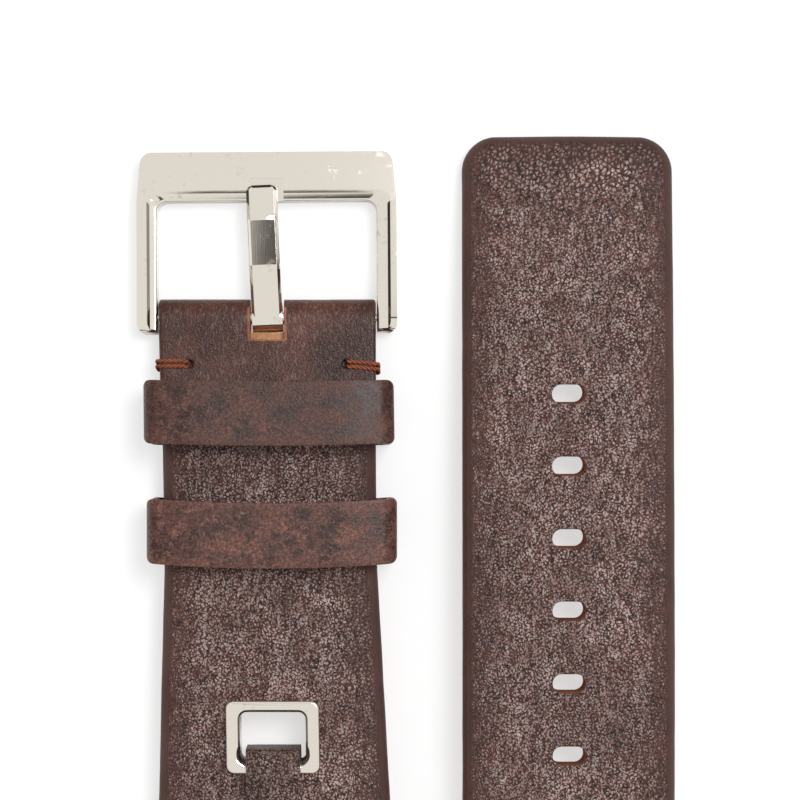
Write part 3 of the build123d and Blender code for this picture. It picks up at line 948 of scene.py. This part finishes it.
# %% Liner, and cuts for bar, tang and thread
bar_hole = 0.81 * mm
liner_thick = 0.5 * mm
web_length, web_corner = 8 * mm, 0.1 * mm
tang_cut_width, tang_cut_corner, tang_cut_lip = 3.86 * mm, 0.25 * mm, 0.3 * mm
tang_cut_behind, liner_cut_behind = 2.7 * mm, 1.75 * mm
stitch_y, stitch_in = fold_y - 7.6 * mm, 3.2 * mm
stitch_hole, stitch_corner = (0.8 * mm, 0.9 * mm), 0.48
hole_beside, hole_deep = 0.3 * mm, 1.0 * mm
liner_inset = 0.25 * mm
round_steps = 32
room_beyond = 2 * mm
fold_rim = 0.3
flat_bar = (short_middle, bar_y, strap_middle)


def bar_round(name, radius, length, place):
    """A round bar along X with its middle at a place."""
    across = (0, pi / 2, 0)
    piece = start("cylinder", name, vertices=round_steps, radius=radius, depth=length, rotation=across)
    reshape(piece, lambda x, y, z: (x + place[0], y + place[1], z + place[2]))
    return piece


def liner_shape(name, length):
    """The tan strip round the bar, as a round with a flat web behind it."""
    piece = bar_round(name, bar_hole + liner_thick, length, flat_bar)
    levels = (strap_middle - liner_thick, strap_middle + liner_thick)
    place = (short_middle, bar_y - web_length / 2)
    join(piece, block("web", length, web_length, web_corner, *levels, *place, segments=1))
    return piece


def tang_punch():
    """The tang's cut through the fold, open at its front."""
    length = tang_cut_behind + 2 * fold_radius
    top = strap_thick + fold_swell(bar_y - tang_cut_behind)
    place = (short_middle, bar_y - tang_cut_behind + length / 2)
    shape = (tang_cut_width, length, tang_cut_corner, top, tang_cut_lip)
    return punch(*shape, *place, cut_edge, cut_edge)


def liner_cut():
    """The tang's cut in the liner ends nearer to the bar, so that the liner closes the hole below."""
    length = liner_cut_behind + 2 * fold_radius
    middle = bar_y - liner_cut_behind + length / 2
    shape = (tang_cut_width, length, tang_cut_corner)
    return block("punch", *shape, -punch_run, strap_thick + punch_run, short_middle, middle)


give(short_face, face_leather)
room = liner_shape("room", fold_width + room_beyond)
give(room, cut_edge)
holes = [tang_punch()]
for side in (-1, 1):
    place = short_middle + side * (fold_width / 2 - stitch_in - hole_beside)
    shape = (*stitch_hole, stitch_hole[0] * stitch_corner, strap_thick, slot_lip)
    holes.append(punch(*shape, place, stitch_y, face_leather, face_leather, strap_thick - hole_deep))
short_eyelet_y = flat_middle("short_eyelet", short_arch)
# The room for the liner is cut last: cut first, it leaves faces on which the next cuts can fail.
cut(short_face, *holes, eyelet_punch(short_plan, short_eyelet_y), room)

fold_liner = liner_shape("fold_liner_strip", fold_width - 2 * liner_inset)
give(fold_liner, lining_leather)
for cutter in (bar_round("bore", bar_hole, fold_width + room_beyond, flat_bar), liner_cut()):
    give(cutter, lining_leather)
    cut(fold_liner, cutter)
weld(fold_liner)
finish_leather(fold_liner, short_arch, "short_half", "tan_lining_leather", "fold_liner", angle=liner_crease)

# %% Finish the short face and its lining
rim_of_short = rim_and_shade_share(short_plan)
paint(short_face, "rim", lambda x, y, z: (
    rim_of_short(x, min(y, bar_y), z) * (fold_rim + (1 - fold_rim) * padded_share(y))
))
paint(short_face, "pull", lambda x, y, z: 1 - padded_share(y))
finish_leather(
    short_face, short_arch, "short_half", "brown_face_leather", "short_upper_leather", "short_filler",
)

short_lining = lining(
    "short_lining_sheet", short_plan, short_end_y + lining_inset, fold_y - fold_return,
    fold_width - 2 * lining_inset, [(short_end_y + lining_inset, end_corner)],
)
cut(short_lining, eyelet_punch(short_plan, short_eyelet_y))
finish_leather(short_lining, short_arch, "short_half", "tan_lining_leather", "short_lining")

# %% [markdown]
# ## The two loops
# The free end of the strap is held by two loops of the same leather. A loop starts as a flat plane stood on
# its edge, its corners rounded with a bevel. Its rim is drawn out along the strap in steps, the leather is
# thickened inwards, and the cut edges are rounded. Use has bowed both loops and pushed them to one side,
# and the fixed one leans. The fixed loop sits on the arched strap. The free one stands on the floor, so its
# underside stays level.

# %% Loops
keeper_thick = 1.2 * mm
keeper_corner = 1.6 * mm
keeper_round = 0.45 * mm
keeper_under, keeper_inside = 1.0 * mm, 6.8 * mm
fixed_place, fixed_length = 13.35 * mm, 7.1 * mm
keeper_step = 0.5 * mm
plan_corner = 0.8 * mm
shoulder_reach, shoulder_fall = 7 * mm, 0.7 * mm
fixed_shift, free_shift = 0.15 * mm, 0.65 * mm
fixed_bow, free_bow = 0.3 * mm, 0.55 * mm
fixed_lean, free_lean = 0.05, 0.0
# Painted shade: the fixed loop is darkened all over, the free one not.
fixed_loop_shade, free_loop_shade = 1.0, 0.0
side_lines = (0.3, 0.45, 0.6)
crease_angle = radians(60)


def leather_loop(name, width, low, high, rear, front, shift, bow, lean, painted_loop_shade):
    """A closed band of leather round the strap, its inside clear. A painted shade darkens it, from 0 to 1."""
    piece = start("plane", name, size=1, rotation=(pi / 2, 0, 0))
    edit(piece, "SELECT")
    bpy.ops.transform.resize(value=(width, 1, high - low))
    bpy.ops.transform.translate(value=(0, rear, (low + high) / 2))
    bpy.ops.mesh.bevel(offset=keeper_corner, segments=corner_steps, affect="VERTICES")
    bpy.ops.mesh.select_all(action="SELECT")
    bpy.ops.mesh.delete(type="ONLY_FACE")
    bpy.ops.mesh.select_mode(type="EDGE")
    bpy.ops.mesh.select_all(action="SELECT")
    steps = round((front - rear) / keeper_step)
    for step in range(steps):
        draw_out(y=(front - rear) / steps)
    half_count = round((width / 2 - keeper_corner) / keeper_step)
    for number in range(-half_count, half_count + 1):
        line_across(x=number * keeper_step)
    for share in side_lines:
        line_across(z=low + share * (high - low))
    leave()
    weld(piece)
    apply(piece, "SOLIDIFY", thickness=keeper_thick, offset=-1, use_even_offset=True)
    apply(piece, "BEVEL", width=keeper_round, segments=3, limit_method="ANGLE", angle_limit=crease_angle)
    half, centre = width / 2, (rear + front) / 2

    def formula(x, y, z):
        upper = max(0, min(1, (z - low) / (high - low) * 2 - 0.5))
        tucked = 1 - rolled(half - abs(x), plan_corner) / (front - centre)
        sagged = bow * (1 - (x / half) ** 2) - lean * (high - z)
        fallen = upper * shoulder_fall * max(0, 1 - (half - abs(x)) / shoulder_reach) ** 2
        return x + short_middle + shift, centre + (y - centre) * tucked - sagged, z - fallen

    def worn_edge(x, y, z):
        return max(0, 1 - (front - centre - abs(y - centre)) / (2 * keeper_round))

    paint(piece, "rim", worn_edge)
    paint(piece, "painted_loop_shade", lambda x, y, z: painted_loop_shade)
    reshape(piece, formula)
    give(piece, keeper_leather)
    return piece


free_low, free_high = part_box("free_keeper")
keeper_width = free_high.x - free_low.x
fixed_middle = fold_y - fixed_place
fixed_size = (
    keeper_width, -keeper_under, keeper_inside + keeper_thick,
    fixed_middle - fixed_length / 2, fixed_middle + fixed_length / 2,
)
fixed_loop = leather_loop("fixed_loop", *fixed_size, fixed_shift, fixed_bow, fixed_lean, fixed_loop_shade)
lay(fixed_loop, short_arch)
smooth(fixed_loop, leather_crease)
settle(fixed_loop, "short_half", "keeper_leather", "fixed_keeper")
free_size = (keeper_width, free_low.z, free_high.z, free_low.y, free_high.y)
free_loop = leather_loop("free_loop", *free_size, free_shift, free_bow, free_lean, free_loop_shade)
smooth(free_loop, leather_crease)
settle(free_loop, "free_keeper", "keeper_leather", "free_keeper")

# %% [markdown]
# ## The lug strips
# From each eyelet a strip runs along the face to the lug end, round the bar of the watch case and back
# underneath, and comes up through the eyelet again, a closed band. It is drawn as its middle line: one edge,
# as wide as the strip, is moved from corner to corner with extrude, and spun half a turn where the bar will
# be. The corners are rounded, the leather is thickened to both sides, and the face side gets its crown.

# %% Lug strips
strip_width, strip_thick, strip_crown = 6.1 * mm, 1.5 * mm, 0.25 * mm
strip_gap, strip_fall = 0.05 * mm, 2.0 * mm
strip_bend, strip_ease, strip_round = 0.85 * mm, 2.5 * mm, 0.3 * mm
eyelet_open_half, eyelet_half, eyelet_proud = 2.8 * mm, 4.1 * mm, 0.8 * mm
washer_thick = 0.4 * mm
lug_bore, lug_reach = 1.0 * mm, 5.0 * mm
strip_step = 0.6 * mm
strip_rows = 10


def strip_corners(eyelet_y, end_y):
    """The corners of the middle line in the flat strap, with the radius that each is rounded to."""
    face = strap_thick + strip_gap + strip_thick / 2
    rim = face + eyelet_proud
    under = -washer_thick - strip_gap - strip_thick / 2
    rise = eyelet_y - eyelet_half - strip_gap
    down = eyelet_y - eyelet_open_half + strip_gap + strip_thick / 2
    middle = (face + under) / 2
    radius = lug_bore + strip_thick / 2
    return [
        (end_y - lug_reach, middle + radius, 0), (end_y, face, strip_ease),
        (rise - strip_fall, face, strip_ease / 2), (rise, rim, strip_ease / 2),
        (down, rim, strip_bend), (down, under, strip_bend),
        (end_y, under, strip_ease), (end_y - lug_reach, middle - radius, 0),
    ]


def lug_strip(name, plan, eyelet_y, end_y):
    """A closed band of leather, flat across and following the strip's middle line."""
    corners = strip_corners(eyelet_y, end_y)
    piece = start("plane", name, size=1)
    edit(piece, "SELECT")
    bpy.ops.transform.resize(value=(strip_width, 1, 1))
    for sign, (y, z, radius) in ((-1, corners[0]), (1, corners[1])):
        pick("VERT", lambda middle, points: abs(middle.y - sign * 0.5) < weld_gap)
        bpy.ops.transform.translate(value=(0, y - sign * 0.5, z))
    pick("EDGE", lambda middle, points: all(abs(p.y - corners[1][0]) < weld_gap for p in points))
    for before, after in zip(corners[1:-1], corners[2:]):
        draw_out(y=after[0] - before[0], z=after[1] - before[1])
    y, low, high = corners[-1][0], corners[-1][1], corners[0][1]
    bpy.ops.mesh.spin(steps=spin_steps, angle=pi, center=(0, y, (low + high) / 2), axis=(1, 0, 0))
    leave()
    weld(piece)
    edit(piece)
    for y, z, radius in corners[1:-1]:
        pick("EDGE", lambda middle, points: all(hypot(p.y - y, p.z - z) < weld_gap for p in points))
        bpy.ops.mesh.bevel(offset=radius, offset_type="WIDTH", segments=edge_steps, affect="EDGES")
    count = int((eyelet_y - end_y) / strip_step)
    for number in range(1, count):
        line_across(y=end_y + number * strip_step)
    for number in range(1 - strip_rows // 2, strip_rows // 2):
        line_across(x=number * strip_width / strip_rows)
    leave()
    weld(piece)
    apply(piece, "SOLIDIFY", thickness=strip_thick, offset=0, use_even_offset=True)
    apply(piece, "BEVEL", width=strip_round, segments=3, limit_method="ANGLE", angle_limit=crease_angle)
    half = strip_width / 2

    def formula(x, y, z):
        outer = max(0, min(1, (z - strap_thick - strip_gap) / strip_thick))
        return x + plan.middle, y, z - outer * strip_crown * (x / half) ** 2

    reshape(piece, formula)
    give(piece, strip_leather)
    return piece


halves = (
    ("short", short_plan, short_arch, short_eyelet_y, short_end_y),
    ("long", long_plan, long_arch, long_eyelet_y, long_end_y),
)
for half, plan, arch, eyelet_y, end_y in halves:
    strip = lug_strip(half + "_lug_band", plan, eyelet_y, end_y)
    finish_leather(strip, arch, half + "_half", "strip_leather", half + "_lug_strip")

# %% [markdown]
# ## The buckle's frame
# The frame is one casting: an outer bar, two arms that hold the spring bar, and a rounded lip round the
# window, set off from the bar by a small step. It is made like the leather, from blocks: one block with
# rounded corners is given the side view by a formula. A second one, wider at the top in the shape of the
# lip and the step, cuts the window. Shading by weighted normals keeps the wide faces flat up to their
# rounded edges, which is what a mirror finish needs.

# %% Frame sizes
arm_width, arm_behind, arm_half, arm_end_round = 2.3 * mm, 1.85 * mm, 1.7 * mm, 1.45 * mm
bar_inner, bar_reach, bar_taper = 13.25 * mm, 18.9 * mm, 0.5 * mm
bar_inner_top, bar_outer_top = 1.45 * mm, 1.1 * mm
window_half = fold_width / 2 + 0.1 * mm
frame_half = window_half + arm_width
frame_corner = 1.2 * mm
lip_width, lip_step, lip_round = 0.95 * mm, 0.32 * mm, 0.3 * mm
step_foot = lip_step / 8
left_lip_share, right_lip_share = 0.9, 1.35
notch_width, notch_reach, notch_floor = 3.9 * mm, 15.9 * mm, 0.71 * mm
pin_hole, pin_depth = 0.45 * mm, 1.3 * mm
metal_round, metal_edge = 0.22 * mm, radians(55)
frame_lean = radians(0.4)


def top_at(y):
    """The frame's top above the bar's middle: level at the arms' ends, then falling outwards."""
    if y < bar_inner:
        return arm_half + (bar_inner_top - arm_half) * max(0, y) / bar_inner
    return bar_inner_top + (bar_outer_top - bar_inner_top) * (y - bar_inner) / (bar_reach - bar_inner)


def turned_on_bar(angle):
    """Turns a place round the bar's middle, as seen from above, and takes it to the buckle's own place."""
    return lambda x, y, z: (
        bar.x + x * cos(angle) - y * sin(angle), bar.y + x * sin(angle) + y * cos(angle), bar.z + z
    )


# %% Frame
def window_cutter():
    """The window, its rounded edge, the lip and the step, as one block that widens upwards."""
    rear = -2 * arm_behind
    length = bar_inner - rear
    base = arm_half - lip_step - lip_round
    piece = block("window", 2 * window_half, length, frame_corner, -2 * arm_half, base, 0, rear + length / 2)
    turns = [pi / 2 * step / lip_steps for step in range(1, lip_steps + 1)]
    profile = [(lip_round * (1 - cos(turn)), lip_round * sin(turn)) for turn in turns]
    profile.append((lip_width, lip_round + step_foot))
    profile.append((lip_width + lip_step, lip_round + lip_step))
    profile.append((lip_width + lip_step, lip_round + lip_step + arm_half))
    edit(piece)
    pick("FACE", lambda middle, points: min(point.z for point in points) > base - weld_gap)
    before = (0, 0)
    for out, rise in profile:
        draw_out(z=rise - before[1])
        scale = ((window_half + out) / (window_half + before[0]), (length + out) / (length + before[0]), 1)
        bpy.ops.transform.resize(value=scale, center_override=(0, rear, base))
        before = (out, rise)
    line_across(y=0)
    line_across(y=bar_inner)
    leave()
    weld(piece)

    def formula(x, y, z):
        beyond = max(0, abs(x) - window_half)
        beyond += min(beyond, lip_width) * ((right_lip_share if x > 0 else left_lip_share) - 1)
        inside = min(abs(x), window_half)
        return (inside + beyond) * (1 if x > 0 else -1), y, z + top_at(y) - arm_half

    reshape(piece, formula)
    return piece


cast_plan = (2 * frame_half, arm_behind + bar_reach, frame_corner)
buckle_cast = block("buckle_cast", *cast_plan, 0, 1, 0, (bar_reach - arm_behind) / 2)
edit(buckle_cast)
for place in (0, bar_inner, *(away - arm_behind for away in edge_lines)):
    line_across(y=place)
leave()


def cast_form(x, y, z):
    """The side view and the taper of the frame, from a block one unit high."""
    soft = rolled(y + arm_behind, arm_end_round)
    low = -arm_half - (fold_radius - arm_half) * max(0, y) / bar_reach + soft
    high = top_at(y) - soft
    taper = bar_taper * max(0, y - bar_inner) / (bar_reach - bar_inner)
    return x * (1 - taper / frame_half), y, low + z * (high - low)


reshape(buckle_cast, cast_form)
window = window_cutter()
notch_length = notch_reach - bar_inner + lip_width
notch_plan = (notch_width, notch_length, lip_round / 2)
notch_middle = notch_reach - notch_length / 2
notch = block("notch", *notch_plan, notch_floor, 2 * arm_half, 0, notch_middle, segments=2)
pins = bar_round("pins", pin_hole, 2 * (window_half + pin_depth), (0, 0, 0))
cut(buckle_cast, window, notch, pins)
weld(buckle_cast)
apply(buckle_cast, "BEVEL", width=metal_round, segments=4, limit_method="ANGLE", angle_limit=metal_edge)


def finish_metal(piece, node, body):
    """Plates a piece, shades it so that wide faces stay flat, and puts it in the place of its solid."""
    give(piece, nickel)
    smooth(piece, metal_crease)
    apply(piece, "WEIGHTED_NORMAL", keep_sharp=True)
    settle(piece, body, "polished_nickel", node)


reshape(buckle_cast, turned_on_bar(frame_lean))
finish_metal(buckle_cast, "buckle_frame", "buckle")

# %% [markdown]
# ## The tang
# The tang is bent from one strip: it rises from its sleeve on the bar, runs level, bends and lies with its
# tip on the outer bar. The solid has these faces already. A copy is merged, its facets are made whole, the
# bends between them are rounded with a wide bevel and the long edges with a narrow one, and its sleeve is
# drawn a little longer. It has play on the bar and leans a little to the left, so its tip lies partly
# beside the notch, and is lifted on to the bar. The eyelets are built from blocks: a flat frame with a
# barrel, cut open, narrowly rounded outside and broadly round the opening.

# %% Tang and eyelets
tang_lean = radians(2.6)
tang_bends = ((5.7 * mm, 0.6 * mm), (11.3 * mm, 0.5 * mm), (12.5 * mm, 0.35 * mm))
tang_reach = 15.1 * mm
tang_lift = 0.62 * mm
tang_round, tang_edge = 0.13 * mm, radians(30)
bend_gap, facet_angle = mm / 20, radians(2)
sleeve_more, sleeve_start = 0.35 * mm, 0.3 * mm


def merged_copy(node, name, origin=(0, 0, 0)):
    """A copy of a solid with its facets merged, moved so that a place becomes the origin."""
    piece = copy(frame["nodes"][node], name)
    weld(piece)
    edit(piece, "SELECT")
    bpy.ops.mesh.dissolve_limited(angle_limit=facet_angle)
    leave()
    reshape(piece, lambda x, y, z: (x - origin[0], y - origin[1], z - origin[2]))
    return piece


tang = merged_copy("tang", "tang_polished", bar)
edit(tang)
for place, width in tang_bends:
    pick("EDGE", lambda middle, points: all(abs(p.y - place) < bend_gap and p.z > arm_half for p in points))
    bpy.ops.mesh.bevel(offset=width, offset_type="WIDTH", segments=5, affect="EDGES")
leave()
apply(tang, "BEVEL", width=tang_round, segments=2, limit_method="ANGLE", angle_limit=tang_edge)
sleeve_rear = max(-corner.co.y for corner in tang.data.vertices)
print("sleeve ends", round(sleeve_rear / mm, 2), "mm behind the bar")
bend_start = tang_bends[1][0]


def drawn_and_lifted(x, y, z):
    """The sleeve drawn out behind the bar, and the tip lifted beyond its bend."""
    behind = max(0, -y - sleeve_start) / (sleeve_rear - sleeve_start)
    beyond = max(0, y - bend_start) / (tang_reach - bend_start)
    return x, y - sleeve_more * behind, z + tang_lift * beyond


reshape(tang, drawn_and_lifted)
reshape(tang, turned_on_bar(tang_lean))
finish_metal(tang, "tang", "tang")

eyelet_frame, eyelet_frame_corner = (10.6 * mm, 8.2 * mm), 0.9 * mm
eyelet_open, eyelet_open_corner = (7.4 * mm, 5.6 * mm), 0.8 * mm
eyelet_round, eyelet_open_round = 0.3 * mm, 0.7 * mm
eyelet_top = strap_thick + eyelet_proud


def framed_eyelet(name, plan, y):
    """A flat frame on the face with a barrel down through the leather, rounded widest round its opening."""
    piece = block(name, *eyelet_frame, eyelet_frame_corner, strap_thick, eyelet_top, plan.middle, y)
    barrel = (*eyelet_barrel, eyelet_corner, -washer_thick, strap_thick + eyelet_proud / 2)
    join(piece, block("barrel", *barrel, plan.middle, y))
    opening = (*eyelet_open, eyelet_open_corner, -punch_run, eyelet_top + punch_run)
    cut(piece, block("punch", *opening, plan.middle, y))
    weld(piece)
    wide, long = [size / 2 + weld_gap for size in eyelet_open]
    for inner, width in ((False, eyelet_round), (True, eyelet_open_round)):
        edit(piece)
        pick("EDGE", lambda middle, points: all(
            p.z > eyelet_top - weld_gap and (abs(p.x - plan.middle) < wide and abs(p.y - y) < long) == inner
            for p in points
        ))
        bpy.ops.mesh.bevel(offset=width, offset_type="OFFSET", segments=edge_steps, affect="EDGES")
        leave()
    return piece


for half, plan, arch, eyelet_y, end_y in halves:
    eyelet = framed_eyelet(half + "_eyelet_polished", plan, eyelet_y)
    lay(eyelet, arch)
    finish_metal(eyelet, half + "_eyelet", half + "_half")

# %% [markdown]
# ## Stitches at the edges
# Two turns of waxed thread hold the fold at each edge. A thread is two plies twisted together: two small
# circles side by side, carried along and turned at once by a screw. The straight twist is then laid on its
# route by a formula, out of the hole, over the edge and back in from below.

# %% Twisted thread
ply_radius, ply_apart = 0.15 * mm, 0.115 * mm
twist_length = 1.1 * mm
thread_step = 0.09 * mm
thread_in = 1.0 * mm
thread_turn = 0.35 * mm
thread_apart = 0.3 * mm
thread_slant = {-1: 0.0, 1: -0.1}
turn_steps, ply_steps = 6, 8


class Route:
    """A path of straight runs and round turns through corners in the X-Z plane."""

    def __init__(self, corners, radius):
        self.points = []
        for before, at, after in zip(corners, corners[1:], corners[2:]):
            at = Vector(at)
            start = at + (Vector(before) - at).normalized() * radius
            end = at + (Vector(after) - at).normalized() * radius
            middle = start + end - at
            for step in range(turn_steps + 1):
                turn = pi / 2 * step / turn_steps
                self.points.append(middle + (start - middle) * cos(turn) + (end - middle) * sin(turn))
        self.points = [Vector(corners[0]), *self.points, Vector(corners[-1])]
        self.runs = [(b - a).length for a, b in zip(self.points, self.points[1:])]

    def at(self, along):
        """The place and the sideways direction at a distance along the route."""
        for start, end, run in zip(self.points, self.points[1:], self.runs):
            if along <= run or end is self.points[-1]:
                towards = (end - start).normalized()
                return start + towards * along, Vector((-towards.y, towards.x))
            along -= run


def twist(name, length):
    """Two plies twisted together along Y."""
    upright = (pi / 2, 0, 0)
    piece = start("circle", name, vertices=ply_steps, radius=ply_radius, fill_type="NGON", rotation=upright)
    reshape(piece, lambda x, y, z: (x + ply_apart, y, z))
    edit(piece, "SELECT")
    bpy.ops.mesh.duplicate()
    bpy.ops.transform.translate(value=(-2 * ply_apart, 0, 0))
    bpy.ops.mesh.select_all(action="SELECT")
    steps = round(length / thread_step)
    angle = 2 * pi * length / twist_length / steps
    for step in range(steps):
        draw_out(y=length / steps)
        bpy.ops.transform.rotate(value=angle, orient_axis="Y", center_override=(0, 0, 0))
    leave()
    weld(piece)
    return piece


def edge_stitch(side, turn):
    """One turn of thread over an edge of the short half."""
    out = fold_width / 2 + ply_radius
    inside = fold_width / 2 - stitch_in
    top, under = strap_thick + ply_radius, -ply_radius
    route = Route([
        (inside, top - thread_in), (inside, top), (out, top),
        (out, under), (inside, under), (inside, under + thread_in),
    ], thread_turn)
    piece = twist(f"edge_stitch_{'left' if side < 0 else 'right'}_{turn + 1}", sum(route.runs))
    place_y = stitch_y + (turn - 0.5) * 2 * thread_apart

    def formula(x, y, z):
        place, aside = route.at(y)
        slant = thread_slant[side] * (place.x - inside)
        place = place + aside * z
        return short_middle + side * place.x, place_y + x + slant, place.y

    reshape(piece, formula)
    weld(piece)
    lay(piece, short_arch)
    give(piece, thread)
    smooth(piece, thread_crease)
    return piece


for stitch in [edge_stitch(side, turn) for side in (-1, 1) for turn in (0, 1)]:
    settle(stitch, "short_half", "waxed_thread", "edge_stitches")

# %% [markdown]
# ## Solid pieces that stay
# The spring bar, its tips and its spring, and the long half's back plate and seam are right as solids, so
# they only get their finish. The short half's plate and seam are copied and slid to where its lean takes
# them.

# %% Finish for the solid pieces
springs = ("spring_bar_tube", "spring_bar_tip_left", "spring_bar_tip_right", "spring_bar_spring")
for node, material, slot in (
    *((node, bar_steel, "bar_steel") for node in springs),
    ("long_eyelet_back", nickel, "nickel_plated_steel"), ("long_strip_stitches", thread, "waxed_thread"),
):
    piece = frame["nodes"][node]
    give(piece, material)
    smooth(piece, plate_crease)

# %% Solid pieces of the leaning half
for node, material, slot in (
    ("short_eyelet_back", nickel, "nickel_plated_steel"), ("short_strip_stitches", thread, "waxed_thread"),
):
    piece = copy(frame["nodes"][node], node + "_laid")
    weld(piece)
    reshape(piece, lambda x, y, z: (x + short_arch.lean * (short_arch.start - y), y, z))
    give(piece, material)
    smooth(piece, plate_crease)
    settle(piece, "short_half", slot, node)

# %% [markdown]
# ## Floor, light and camera
# The photograph is a view from straight above on white paper. The floor is white and keeps a soft shadow;
# a faint glow, seen by the camera alone, brings the lit paper to full white. Light comes from all round,
# and a large soft lamp high on the right gives the grain its shine. The metal sees a white room with a
# dark band low down and the dark camera overhead, which draw the thin dark lines along its edges.

# %% Paper floor
floor_size = 3.0
floor_lift = 0.6
paper_fibre, paper_depth = 0.6 * mm, 0.005 * mm

floor = start("plane", "paper_floor", size=floor_size)
material, tree, place = new_material("white paper")
paper = add(tree, "BsdfPrincipled", {
    "Base Color": linear("#fafafa"), "Roughness": 0.9, "Specular IOR Level": 0.2,
    "Normal": bumped(tree, noise(tree, place, paper_fibre, 2), paper_depth),
})
white = add(tree, "Emission", {"Color": linear("#ffffff"), "Strength": 1.0})
share = calc(tree, "MULTIPLY", add(tree, "LightPath", {}).outputs["Is Camera Ray"], floor_lift)
lifted = add(tree, "MixShader", {0: share, 1: paper.outputs[0], 2: white.outputs[0]})
add(tree, "OutputMaterial", {"Surface": lifted.outputs[0]})
give(floor, material)

# %% White room
room_light = 0.8
band_low, band_high, band_soft = 0.03, 0.18, 0.06
camera_card, card_soft = radians(2.6), radians(0.5)

world = bpy.data.worlds.new("white room")
bpy.context.scene.world = world
world.use_nodes = True
tree = world.node_tree
tree.nodes.clear()
towards = add(tree, "TexCoord", {}).outputs["Generated"]
height = add(tree, "SeparateXYZ", {0: towards}).outputs[2]
level = calc(tree, "ABSOLUTE", height)
rising = span(tree, level, band_high, band_high + band_soft)
low = span(tree, level, band_low, band_low + band_soft / 2, 1, 0)
card = span(tree, height, cos(camera_card + card_soft), cos(camera_card - card_soft), 1, 0)
mirror = mixed(tree, calc(tree, "MAXIMUM", rising, low), linear("#3c3a39"), linear("#ffffff"))
mirror = mixed(tree, card, linear("#4c4946"), mirror)
ray = add(tree, "LightPath", {})
soft = add(tree, "Background", {"Color": linear("#ffffff"), "Strength": room_light})
mirrored = add(tree, "Background", {"Color": mirror, "Strength": 1.0})
white = add(tree, "Background", {"Color": linear("#ffffff"), "Strength": 1.0})
shown = add(tree, "MixShader", {0: ray.outputs["Is Glossy Ray"], 1: soft.outputs[0], 2: mirrored.outputs[0]})
shown = add(tree, "MixShader", {0: ray.outputs["Is Camera Ray"], 1: shown.outputs[0], 2: white.outputs[0]})
add(tree, "OutputWorld", {"Surface": shown.outputs[0]})

# %% Soft lamp
lamp_place = Vector((0.16, 0.16, 0.58))
lamp_size = 0.22
lamp_power = 2.3

bpy.ops.object.light_add(type="AREA", location=lamp_place)
lamp = bpy.context.object
lamp.name = "soft_lamp"
lamp.data.size = lamp_size
lamp.data.energy = lamp_power
lamp.rotation_euler = (-lamp_place).to_track_quat("-Z", "Y").to_euler()

# %% Camera
view_width = 90.6 * mm
view_x, view_y = -0.57 * mm, 31.1 * mm
camera_height, leather_level = 420 * mm, 6 * mm
near_limit = 10 * mm

bpy.ops.object.camera_add(location=(view_x, view_y, camera_height + leather_level), rotation=(0, 0, 0))
camera = bpy.context.object
camera.name = "overhead_camera"
camera.data.lens = camera.data.sensor_width * camera_height / view_width
camera.data.clip_start = near_limit
bpy.context.scene.camera = camera
bpy.context.scene.view_settings.view_transform = "Standard"
print("lens", round(camera.data.lens, 1), "mm")
